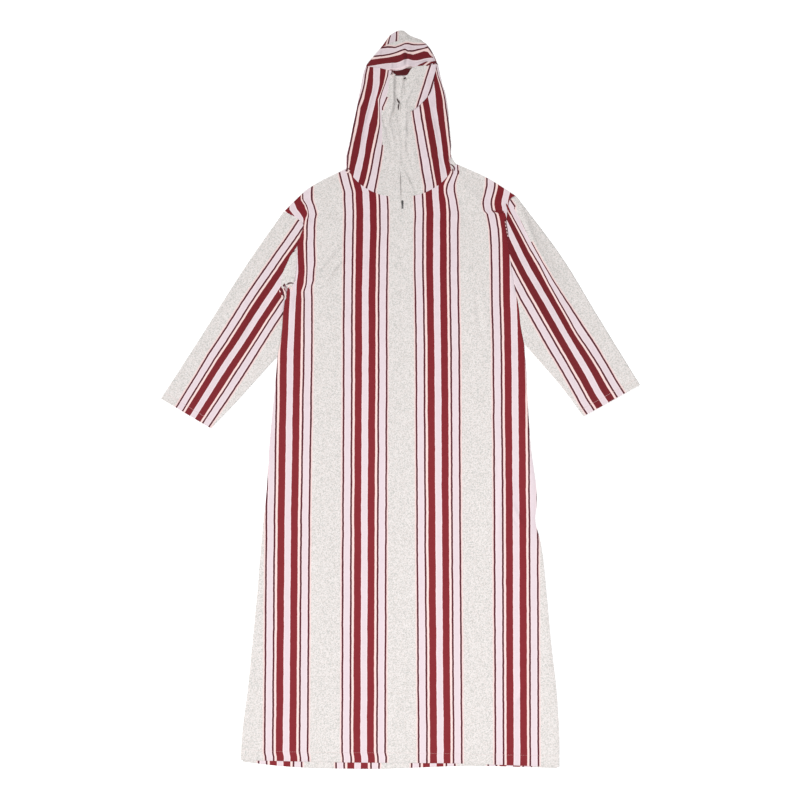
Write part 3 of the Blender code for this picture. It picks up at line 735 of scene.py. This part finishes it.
# The back. One panel of the same cotton, flat on the floor, with its hem folded up once and
# stitched. The fold shows below the front's hem, which lies a little higher.
BACK_HEM = ((-378, 17), (-302, 8), (-86, 0), (173, 7), (370, 2))
NECKLINE_BACK = (NECK_LEFT, (-60, 1400), (0, 1398), (60, 1404), NECK_RIGHT)
GUSSET_RIGHT_EDGE = (SIDE_RIGHT[-2], (284, 998), (268, 1042), (260, 1088), (253, 1133), (261, 1160))
BACK_HEIGHT = 0.0012
BACK_STEP = 9
BACK_SHIFT = 0.0165  # the back's stripes lie this much further left

back_sides = (front_sides[0], (SIDE_RIGHT[:-1], GUSSET_RIGHT_EDGE, ARMHOLE_RIGHT[1:], ARMHOLE_TIP_RIGHT))
back_top = (SHOULDER_LEFT, NECKLINE_BACK, SHOULDER_RIGHT)
upward = shares_for(back_sides[0], BACK_STEP)
across = shares_for((BACK_HEM,), BACK_STEP)
back_flat = panel(BACK_HEM, back_sides, back_top, across, upward)
x, y = back_flat[..., 0], back_flat[..., 1]
back_places = np.dstack([back_flat, np.full(x.shape, BACK_HEIGHT)])
back = cloth("back", [(back_places, front_weave(x + BACK_SHIFT, y))], thickness=0.0011)
dress(back, ["body_back"], STRIPED)

HEM_TURN_UP = 24
HEM_TOP = 0.0028
HEM_NARROWER = 0.985  # its ends lie inside the side seams
HEM_ROWS = (0, 1.2, 3, 7, 12, 17, HEM_TURN_UP)
HEM_TURNS = (("bottom", 1.1, 2.6), ("left", 0.9, 4), ("right", 0.9, 4))
hem_low = edge((BACK_HEM,), np.linspace(0, 1, 150), by_width=True)
hem_low[:, 0] *= HEM_NARROWER
hem_flat = np.stack([hem_low + np.array([0, rise * MM]) for rise in HEM_ROWS])
x, y = hem_flat[..., 0], hem_flat[..., 1]
height = HEM_TOP - turn_down(hem_flat, HEM_TURNS)
hem_places = np.dstack([hem_flat, height + ripple(hem_flat, 40, 0.25, 4.5)])
hem = cloth("back_hem", [(hem_places, front_weave(x + BACK_SHIFT, y))])
dress(hem, ["hem_back"], STRIPED)


# The sleeves. Each is one piece of the striped cotton, folded on its outer edge and sewn along
# its lower one, so it lies as a flat tube. The stripes run along it.
OUTER_LEFT = ((-565, 870), (-474, 1010), (-357, 1193), TIP_LEFT)
LOWER_LEFT = ((-448, 800), (-380, 871), (-344, 911), SLEEVE_END_LEFT)
OUTER_RIGHT = ((560, 902), (457, 1069), (379, 1197), TIP_RIGHT)
LOWER_RIGHT = ((427, 828), (379, 893), (320, 962), SLEEVE_END_RIGHT)
SLEEVE_STEP = 4.6
TUBE_RADIUS = 0.00178
TURNS = np.radians([30, 60, 90, 120, 150])  # round each folded edge
LEFT_MARKS = (-GROUP_EDGE, 0, GROUP_EDGE)

LEFT_FOLDS = (
    (-400, 1030, 58, 300, 40, 2.4),
    (-300, 1060, 62, 170, 34, 2.8),
    (-455, 900, 57, 190, 36, 1.8),
    (-290, 1110, 40, 90, 9, 2.2),
    (-285, 1090, 70, 80, 8, -1.8),
    (-372, 1035, 60, 90, 9, 1.7),
    (-352, 1048, 62, 80, 8, -1.3),
    (-268, 1136, -20, 40, 6, 1.8),
)
RIGHT_FOLDS = (
    (331, 1200, -64, 350, 28, 4.4),
    (330, 1075, -60, 260, 38, 2.2),
    (455, 935, -58, 190, 36, 1.8),
    (302, 1258, -70, 120, 10, 2.5),
    (326, 1212, -64, 150, 7, 2.2),
    (290, 1262, -70, 120, 8, -1.4),
    (350, 1130, -58, 130, 9, 1.4),
)
LEFT_LINES = (
    # along the sleeve from its tip, and how far from its outer edge the three marks are
    (23, 38, 87, 135),
    (94, 36, 84, 132),
    (164, 34, 83, 130),
    (235, 33, 83, 130),
    (305, 35, 84, 131),
    (376, 35, 83, 133),
    (446, 38, 84, 133),
    (517, 40, 86, 132),
)
RIGHT_LINES = (
    # along the sleeve, and how far from its outer edge the outermost, second, middle and last are
    (23, 14, 31, 52, 103),
    (70, 22, 35, 58, 109),
    (117, 29, 39, 66, 114),
    (164, 33, 41, 71, 119),
    (211, 35, 47, 73, 125),
    (258, 35, 50, 76, 128),
    (305, 35, 53, 79, 131),
    (352, 35, 56, 82, 134),
    (399, 35, 55, 85, 136),
    (446, 37, 56, 87, 139),
    (493, 40, 59, 92, 143),
)
RIGHT_MARKS = (-GROUP_EDGE, -0.0322, 0, GROUP_EDGE)
CUFF_STITCHES = 16.5  # from the cuff's edge to its row of stitches
SEAM_FLAT, CUFF_FLAT = 0.02, 0.015  # the folds stay this far from the long edges and the ends


def tube(flat, raised):
    """Rings of a tube pressed flat: the upper layer, its right fold, the lower layer, the left one."""
    right_way, left_way = unit(flat[:, -1] - flat[:, -2]), unit(flat[:, 0] - flat[:, 1])
    middle = (flat[:, :1] + flat[:, -1:]) / 2
    width = np.linalg.norm(flat[:, -1:] - flat[:, :1], axis=2)[..., None]
    flat = middle + (flat - middle) * (1 - 2 * TUBE_RADIUS / width)
    inside = np.minimum(from_edge(flat, "left"), from_edge(flat, "right"))
    held = np.clip(inside / SEAM_FLAT, 0, 1)
    for end in ("bottom", "top"):
        held *= np.clip(from_edge(flat, end) / CUFF_FLAT, 0, 1)
    upper = 2 * TUBE_RADIUS + raised(flat) * held - turn_down(flat, (("top", 0.9, 6),))

    def fold(start, way, turns):
        places = start + way * TUBE_RADIUS * np.sin(turns)[:, None, None]
        levels = np.broadcast_to(TUBE_RADIUS * (1 + np.cos(turns))[:, None], places.shape[:2])
        return np.dstack([places, levels]).transpose(1, 0, 2)

    lower = np.dstack([flat[:, ::-1], np.zeros(flat.shape[:2])])
    right_fold, left_fold = fold(flat[:, -1], right_way, TURNS), fold(flat[:, 0], left_way, TURNS[::-1])
    return np.concatenate([np.dstack([flat, upper]), right_fold, lower, left_fold], 1)


def sleeve(name, node, cuff, left, top, right, folds, lines, marks, seed, material,
           fold_on_right=False, laps=()):
    """A sleeve from its cuff up, with the outer fold on its left or right."""

    def raised(place):
        uneven = ripple(place, 50, 0.5, seed) + ripple(place, 22, 0.25, seed)
        return lift(folds, place) + uneven

    def height_at(place):
        return 2 * TUBE_RADIUS + raised(place)

    flat = patch((cuff,), (right,), top, (left,), SLEEVE_STEP, top)
    places = tube(flat, raised)
    outer = right if fold_on_right else left
    tip, end = Vector(outer[-1]) * MM, Vector(outer[0]) * MM
    run = np.array((end - tip).normalized())
    inwards = np.array((run[1], -run[0])) * (1 if fold_on_right else -1)
    from_tip = places[..., :2] - np.array(tip)
    along, inward = from_tip @ run, from_tip @ inwards
    upper = flat.shape[1]
    woven = woven_across(lines, marks, along[:, :upper], inward[:, :upper])
    step = np.linalg.norm(np.diff(places, axis=1), axis=2)
    if fold_on_right:
        under = woven[:, -1:] - np.cumsum(step[:, upper - 1 :], 1)
        under[:, -len(TURNS) :] = woven[:, :1]
    else:
        under = woven[:, :1] - np.flip(np.cumsum(np.flip(step, 1), 1), 1)[:, upper - 1 :]
        under[:, : len(TURNS)] = woven[:, -1:]
    weave = np.dstack([np.hstack([woven, under, woven[:, :1]]), np.hstack([along, along[:, :1]])])
    over = [lap(line, width, rise, height_at) for line, width, rise in laps]
    piece = cloth(name, [(places, weave), *over], ring=True)

    up_sides = np.subtract(right[1], right[0]) + np.subtract(left[1], left[0])
    row = np.array(cuff) + up_sides / np.linalg.norm(up_sides) * CUFF_STITCHES
    row[0] += (row[1] - row[0]) * 0.01
    thread = stitches(name + "_thread", row, 0.7, height_at)
    dress(piece, [node], material)


LEFT_SEAM = (
    ARMHOLE_LEFT[:0:-1], (GUSSET_TOP, (-256, 1185), (-265, 1140), UNDERARM_LEFT),
    UNDER_LEFT[::-1],
)
sleeve(
    "left_sleeve", "sleeve_left", (OUTER_LEFT[0], LOWER_LEFT[0]), OUTER_LEFT, LEFT_SEAM, LOWER_LEFT,
    LEFT_FOLDS, LEFT_LINES, LEFT_MARKS, 11.5, LEFT_CLOTH,
)
RIGHT_SEAM = (UNDER_RIGHT, ARMHOLE_RIGHT, ARMHOLE_TIP_RIGHT)
RIGHT_LAP = (((263, 1318), (276, 1296), (290, 1267), (304, 1236)), 18, 1.4)
sleeve(
    "right_sleeve", "sleeve_right", (LOWER_RIGHT[0], OUTER_RIGHT[0]), LOWER_RIGHT, RIGHT_SEAM,
    OUTER_RIGHT, RIGHT_FOLDS, RIGHT_LINES, RIGHT_MARKS, 12.5, RIGHT_CLOTH,
    fold_on_right=True, laps=(RIGHT_LAP,),
)


# The gussets. A small piece of the flecked ground is let in under each arm. The left one shows
# between the sleeve and the front, and the right one is tucked under the front's edge.
GUSSET_STEP = 4
GUSSET_SIDE, GUSSET_CORNER = (-262, 1203), (-283, 1146)
GUSSET_TURNS = (("left", 0.8, 5), ("right", 0.8, 8), ("top", 0.8, 5), ("bottom", 0.4, 4))
TUCKED = GUSSET_RIGHT_EDGE[1:5]


def gusset(name, node, bottom, right, top, left, height, turns):
    flat = patch((bottom,), (right,), (top,), (left,), GUSSET_STEP, (bottom,))
    raised = height + ripple(flat, 25, 0.5, 21.5) - turn_down(flat, turns)
    piece = cloth(name, [(np.dstack([flat, raised]), flat)])
    dress(piece, [node], PLAIN)


gusset(
    "left_gusset", "gusset_left", (UNDERARM_LEFT, GUSSET_INNER),
    (GUSSET_INNER, (-246, 1186), GUSSET_TOP), (GUSSET_SIDE, GUSSET_TOP),
    (UNDERARM_LEFT, GUSSET_CORNER, GUSSET_SIDE), 0.0048, GUSSET_TURNS,
)
gusset(
    "right_gusset", "gusset_right", (TUCKED[0], SLEEVE_END_RIGHT), UNDER_RIGHT,
    (TUCKED[-1], UNDERARM_RIGHT), TUCKED, BACK_HEIGHT, (),
)


# The hood. A pointed hood of the striped cotton, sewn round the neck and closed down the front.
# It lies on its own back in soft folds, and its peak is doubled over in a band above the face.
FACE_TOP = (7, 1627.5)
BROW_LEFT, BROW_RIGHT = (-15, 1629), (13, 1627)
FACE_EDGE = (NECK_FRONT, (-3, 1405), (-6, 1478), (-6, 1565), FACE_TOP)
HOOD_SIDE_LEFT = (
    NECK_LEFT, (-131, 1432), (-123, 1466), (-114, 1510), (-105, 1552), (-97, 1595), (-80, 1657),
)
HOOD_SIDE_RIGHT = (
    NECK_RIGHT, (121, 1430), (116, 1442), (116, 1465), (113, 1501), (108, 1553), (103, 1583),
    (94, 1613), (84, 1657),
)
PEAK_SIDE_LEFT = ((-77, 1661), (-62, 1677), (-38, 1708))
PEAK_SIDE_RIGHT = ((80, 1663), (72, 1684), (46, 1713))
PEAK_TOP = ((-38, 1708), (-28, 1722), (4, 1734), (18, 1724), (46, 1713))
PEAK_FOOT = (PEAK_SIDE_LEFT[0], (-30, 1660), (4, 1660), (30, 1661), PEAK_SIDE_RIGHT[0])
BROW_EDGE_LEFT = ((-80, 1657), (-56, 1657), (-30, 1656), BROW_LEFT, FACE_TOP)
BROW_EDGE_RIGHT = (FACE_TOP, BROW_RIGHT, (30, 1656), (56, 1659), (82, 1658))
BROW_TOP = ((-30, 1656), (0, 1656), (30, 1656))
CROWN_LOWER = (
    (-82, 1650), (-51, 1646), (-20, 1640), (3.5, 1643), (12, 1646.5), (20, 1650), (31, 1648.5),
    (45, 1652), (76, 1660),
)
CROWN_UPPER = ((-48, 1694), (-36, 1700), (-12, 1709), (4, 1713), (22, 1714), (57, 1704))
CROWN_LEFT = (CROWN_LOWER[0], (-65, 1674), CROWN_UPPER[0])
CROWN_RIGHT = (CROWN_LOWER[-1], (71, 1684), CROWN_UPPER[-1])
HOOD_STEP = 1.8
HOOD_HEIGHT = 0.0036
SECOND_HEIGHT = 0.0054
HOOD_SPAN, LAPPING_SPAN = (0.0019, 0.1), (0.0014, 0.1)  # the lowest and highest that it may lie

HOOD_FOLDS = (
    (-60, 1500, 80, 230, 30, 2.2),
    (60, 1490, 98, 230, 30, 2.2),
    (-30, 1590, 84, 130, 24, 2.4),
    (28, 1430, 95, 130, 24, 1.6),
)
HOOD_CREASES = HOOD_FOLDS + (
    (-20, 1600, 90, 90, 7, 3.7),
    (-12, 1585, 90, 100, 5, -3.4),
    (-14, 1582, 88, 96, 5, -4.6),
    (-6, 1560, 97, 34, 3, -4.4),
    (-1, 1600, 84, 80, 6, 3.1),
    (9, 1602, 92, 70, 4, -2.4),
    (16, 1580, 66, 90, 7, 2.7),
    (-26, 1540, 76, 120, 7, 3.1),
    (-33, 1500, 108, 110, 7, -4.4),
    (-22, 1480, 100, 110, 7, 2.5),
    (-4, 1520, 96, 130, 7, -4.6),
    (8, 1500, 88, 130, 8, 4),
    (17, 1450, 104, 120, 6, -2),
    (-5, 1440, 86, 100, 7, 2),
    (15, 1388, 118, 80, 5, 3.6),
    (22, 1380, 118, 80, 5, -3.4),
    (-92, 1500, 77, 130, 6, 2),
    (-70, 1560, 74, 110, 6, -2),
    (78, 1500, 102, 130, 6, 2),
    (92, 1440, 104, 90, 5, -1.7),
)
CROWN_FOLDS = (
    (-30, 1660, 10, 70, 5, 2.8),
    (4, 1672, 92, 44, 5, 3.4),
    (13, 1670, 84, 44, 5, -3.6),
    (44, 1664, 14, 60, 5, 3),
    (40, 1656, 14, 60, 5, -1.2),
    (-36, 1685, 6, 60, 5, -1.2),
    (20, 1697, 176, 70, 4, -2.4),
    (-50, 1677, 90, 26, 3, 2.2),
    (-10, 1652, 94, 24, 4, -1.8),
    (-24, 1652, 80, 24, 4, 2.2),
    (8, 1676, 80, 60, 22, 3.4),
    (-40, 1668, 15, 90, 24, 1.6),
)
LEFT_HOOD_LINES = (
    # up, across of the next line, the sides of the two wide stripes, the next line, and where
    # the pale stripe and the ground meet under the lapping fold
    (1652, -80, -74, -67, -49, -35, -29.4, -22, -18),
    (1628, -85, -78, -67, -50, -38, -31.7, -24.5, -18),
    (1609, -87, -81, -67, -50.5, -42, -38.2, -28, -20),
    (1590, -92, -85, -70, -55, -48.6, -45.8, -31, -23),
    (1572, -98, -88, -75, -60, -55.7, -51, -38, -30.5),
    (1553, -103.5, -96, -80, -64, -54.5, -51.7, -46.5, -39.5),
    (1534, -107, -99, -85, -69, -55.2, -50.8, -46, -41),
    (1513, -112, -102, -89, -75, -57, -50.5, -44, -38),
    (1490, -116, -107, -93.5, -79, -62.7, -54, -43.5, -37),
    (1466, -120, -113, -97, -83.4, -68, -59.5, -46, -39),
    (1442, -126, -117.5, -101.5, -86, -73, -64.6, -49.3, -41.2),
    (1412, -127, -123, -109.5, -92, -79, -70.5, -55.2, -47.1),
    (1388, -133, -124, -115, -98, -83.4, -75.7, -59.2, -51.1),
    (1360, -143, -134, -122, -105, -92, -82.3, -64.6, -56.5),
)
LEFT_HOOD_MARKS = (*MIDDLE_MARKS, 0.0484, 0.0565)
RIGHT_HOOD_LINES = (
    # up, across of the outermost line, the next, the sides of the two wide stripes, the next
    # line, and where the ground shows again beside the neck
    (1652, 15, 28, 34, 48, 75, 78, 80.4, 106),
    (1628, 16.5, 29.4, 36.4, 51.7, 77.6, 83, 85.8, 112),
    (1609, 18.3, 34, 41, 56.4, 77.8, 88.6, 92.8, 118),
    (1590, 21, 37.6, 44.7, 60, 80, 92.8, 98.7, 120),
    (1572, 22.8, 40.7, 48.2, 63, 81, 96.6, 102.2, 125),
    (1553, 25.4, 44.2, 52.4, 66.5, 82.3, 98.2, 104.6, 128),
    (1525, 29, 47, 56.4, 71, 86.5, 101, 109, 130),
    (1490, 35.3, 54, 62.3, 78, 92, 105.3, 113, 130),
    (1459, 40.4, 60, 67.7, 83.4, 96, 109.3, 116, 130),
    (1440, 43, 63.5, 70, 85.5, 98, 111, 117, 120),
    (1431, 44.7, 65.8, 72, 87.2, 99.4, 112, 112.6, 113.4),
    (1400, 49, 70.5, 76.8, 90.5, 106.5, 118.7, 119.3, 120),
    (1370, 55.2, 75.2, 82.5, 94, 111.6, 123.4, 124, 125),
)
RIGHT_HOOD_MARKS = (-0.0507, *MIDDLE_MARKS, 0.06)

SLIT_TOP, SLIT_ACROSS = 1.405, -0.002  # the hood's front edges meet above the zip
SLIT_DIP, SLIT_HALF_WIDTH, SLIT_END = 0.0007, 0.0025, 0.02
HOOD_CLOTH = 0.0006
LEFT_LAPS = (
    # edge, width and rise, in mm
    (((-26, 1634), (-28, 1622), (-30, 1608), (-32, 1592), (-36, 1577)), 12, 0.9),
    (((-47, 1549), (-47, 1534), (-46, 1513), (-45.5, 1490), (-45, 1463)), 15, 0.9),
)


def hood_piece(name, bottom, right, top, left, height, folds, turns, weave_of,
               rolls=(), laps=(), material=HOOD, span=HOOD_SPAN):
    counted = top if len(top) > 2 else bottom
    flat = patch((bottom,), (right,), (top,), (left,), HOOD_STEP, (counted,))

    def height_at(place):
        uneven = ripple(place, 28, 1.3, 31.5) + ripple(place, 12, 0.8, 32.5)
        return np.clip(height + lift(folds, place) + uneven, *span)

    slit = np.clip((SLIT_TOP - flat[..., 1]) / SLIT_END, 0, 1)
    slit *= np.clip(1 - np.abs(flat[..., 0] - SLIT_ACROSS) / SLIT_HALF_WIDTH, 0, 1)
    raised = np.clip(height_at(flat) - turn_down(flat, turns) - SLIT_DIP * slit, *span)
    over = [lap(line, width, rise, height_at) for line, width, rise in laps]
    patches = [(np.dstack([flat, raised]), weave_of(flat)), *rolls, *over]
    piece = cloth(name, patches, thickness=HOOD_CLOTH)
    dress(piece, [name], material)


def lines_up(table, marks):
    """The weave of a piece whose stripes run up it."""

    def weave_of(flat):
        return np.dstack([woven_across(table, marks, flat[..., 1], flat[..., 0]), flat[..., 1]])

    return weave_of


def plain_weave(flat):
    return np.dstack([flat[..., 0] + REPEAT / 2, flat[..., 1]])


hood_piece(
    "hood_back", NECKLINE_BACK, HOOD_SIDE_RIGHT + PEAK_SIDE_RIGHT[1:], PEAK_TOP,
    HOOD_SIDE_LEFT + PEAK_SIDE_LEFT[1:], BACK_HEIGHT, (), (), plain_weave,
    material=STRIPED, span=(0.0007, BACK_HEIGHT),
)
hood_piece(
    "hood_left", NECKLINE_LEFT, FACE_EDGE, BROW_EDGE_LEFT, HOOD_SIDE_LEFT, HOOD_HEIGHT,
    HOOD_CREASES, (("left", 1.2, 6), ("bottom", 0.12, 3)),
    lines_up(LEFT_HOOD_LINES, LEFT_HOOD_MARKS), laps=LEFT_LAPS,
)
hood_piece(
    "hood_right", NECKLINE_RIGHT, HOOD_SIDE_RIGHT, BROW_EDGE_RIGHT, FACE_EDGE, HOOD_HEIGHT,
    HOOD_CREASES, (("right", 1.2, 6), ("bottom", 0.12, 3)),
    lines_up(RIGHT_HOOD_LINES, RIGHT_HOOD_MARKS),
)
PEAK_LINES = (
    # up, across of the wide stripe's side, the next line and the outermost one
    (1702, -37, -31.3, -12),
    (1712, -34, -29.6, -11.8),
    (1722, -30.5, -26, -11.3),
)
PEAK_MARKS = (0.024, 0.0317, 0.0507)
hood_piece(
    "hood_peak", PEAK_FOOT, PEAK_SIDE_RIGHT, PEAK_TOP, PEAK_SIDE_LEFT, HOOD_HEIGHT, (),
    (("left", 1.5, 7), ("right", 1.5, 7), ("top", 1.8, 9)), lines_up(PEAK_LINES, PEAK_MARKS),
    material=PEAK,
)

CROWN_LINES = (
    # across, up of the wide stripe's lower and upper side, the next line, the outermost line
    (-82, 1650.5, 1663, 1671, 1690),
    (-74, 1651.6, 1665.7, 1674, 1691.5),
    (-50, 1655, 1668.7, 1675, 1694),
    (-32, 1658, 1670.4, 1677.4, 1696),
    (-15, 1659, 1674, 1682, 1694),
    (-3.5, 1661, 1676.3, 1687, 1698),
    (8, 1666, 1682, 1690.6, 1703),
    (15, 1668, 1680, 1686, 1703.7),
    (27, 1664.3, 1677.4, 1687.3, 1701),
    (39, 1663.8, 1681, 1690.3, 1700.2),
    (53, 1668, 1685.7, 1693.2, 1701),
    (62, 1669.7, 1683.3, 1697.5, 1703),
    (67, 1670.8, 1676.2, 1691, 1696),
    (72, 1671, 1671.6, 1682, 1686),
)
CROWN_MARKS = (0.0082, 0.024, 0.0317, 0.0507)
CROWN_TURNS = (("left", 1.6, 6), ("right", 1.6, 6), ("bottom", 1.4, 5), ("top", 1.4, 6))
MIDDLE_STRIPE = 0.0075  # the pale middle stripe reaches this far on each side


def crown_weave(flat):
    woven = woven_across(CROWN_LINES, CROWN_MARKS, flat[..., 0], flat[..., 1])
    return np.dstack([woven.clip(-MIDDLE_STRIPE), flat[..., 0]])


hood_piece(
    "hood_crown", CROWN_LOWER, CROWN_RIGHT, CROWN_UPPER, CROWN_LEFT, SECOND_HEIGHT,
    HOOD_FOLDS + CROWN_FOLDS, CROWN_TURNS, crown_weave,
    material=CROWN, span=LAPPING_SPAN,
    rolls=(
        roll(((38, 1651), (49, 1655), (61, 1661)), 2.3, 5.6, 1.2, 0.016),
        roll(((58, 1651), (67, 1657), (77, 1661)), 2.4, 5.6, 1.3, 0.016),
        roll(((52, 1651.5), (59, 1656), (69, 1661.5)), 2.2, 5.7, 1.2, 0.027),
        roll(((75, 1659), (81, 1658.5), (85, 1654)), 1.2, 5.2, 1.3, 0.0507),
    ),
)

BROW_LOW, BROW_HEIGHT = 1.629, 0.0031


def brow_weave(flat):
    return np.dstack([flat[..., 1] - BROW_LOW + MIDDLE_STRIPE, flat[..., 0]])


# The brow: the hood's inner layer below the crown's edge, darkened as painted shade
hood_piece(
    "hood_brow", (BROW_LEFT, FACE_TOP, BROW_RIGHT), (BROW_RIGHT, BROW_TOP[-1]), BROW_TOP,
    (BROW_LEFT, BROW_TOP[0]), BROW_HEIGHT, (), (), brow_weave,
    material=INSIDE_IN_PAINTED_SHADE,
)
FLAP_LINE = (
    # up, across of the line beside the flap's edge
    (1652, 67),
    (1631, 60),
    (1600, 50.5),
    (1579, 43.5),
    (1555, 36.5),
)
FLAP_BOTTOM = ((-5, 1530), (10, 1536), (25, 1546))
FLAP_TOP = ((0, 1626), (13, 1630), (24, 1645), (53, 1652), (82, 1655))
FLAP_LEFT = ((-5, 1530), (-4, 1585), (0, 1626))
FLAP_RIGHT = ((25, 1546), (38, 1555), (53, 1569), (65, 1584), (77, 1620), (82, 1655))
hood_piece(
    "hood_flap", FLAP_BOTTOM, FLAP_RIGHT, FLAP_TOP, FLAP_LEFT, SECOND_HEIGHT,
    HOOD_CREASES, (("right", 1.0, 3), ("bottom", 2.6, 20), ("left", 2.4, 34)),
    lines_up(FLAP_LINE, (-0.0507,)),
    span=LAPPING_SPAN,
)

# The deepest gaps between the hood's folds, painted dark as shade, and a painted shadow line down the
# closed slit above the zip
SHADED, DEEPEST = colour(78, 62, 62), (0.03, 0.02, 0.02, 1)
shaded, shaded_shader = new_finish("cotton_in_shade", 0.95)
uneven = Value(shaded.node_tree).node("TexCoord", output=3).noise(500, 3, 0.6)
uneven.mix(SHADED, DEEPEST).feeds(shaded_shader, "Base Color")
hood_gaps = cloth("hood_gaps", [
    roll(((-11, 1574), (-8, 1568), (-4.5, 1562.5)), 1.9, 8.2, 0.3, 0),
    roll(((-5.5, 1563), (-7, 1556), (-7.5, 1547)), 1.6, 8.2, 0.3, 0),
    roll(((5, 1619.5), (10.5, 1623.5)), 1.9, 7.6, 0.4, 0),
    roll(((-26, 1630), (-21, 1635)), 0.9, 8.0, 0.3, 0),
    # painted shadow along the closed slit above the zip
    roll(((-2.5, 1403), (-2, 1380), (-1.5, 1343)), 0.45, 5.4, 0.2, 0),
], thickness=0.0002)
hood_gaps.data.materials.append(shaded)
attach(hood_gaps, "robe")


# The zip. A small slider of black lacquered metal at the top of the closed zip, with its pull
# hanging down over the cloth. The pull turns on the slider's arch.
def lacquer(name):
    """Black lacquer, worn to the metal on its edges."""
    material, shader = new_finish(name)
    maker = Value(material.node_tree)
    place = maker.node("TexCoord", output=3)
    worn = place.noise(1800, 3, 0.6).over(0.62, 0.06)
    shown = worn.mix((0.016, 0.016, 0.018, 1), (0.22, 0.21, 0.2, 1))
    shown.feeds(shader, "Base Color")
    (worn * 0.5 + 0.35).feeds(shader, "Metallic")
    (worn * 0.15 + 0.3).feeds(shader, "Roughness")
    return material


LACQUER = lacquer("black_lacquer")
for node in ("zip_slider", "zip_pull"):
    metal = frame["nodes"][node]
    metal.data.materials.clear()
    metal.data.materials.append(LACQUER)
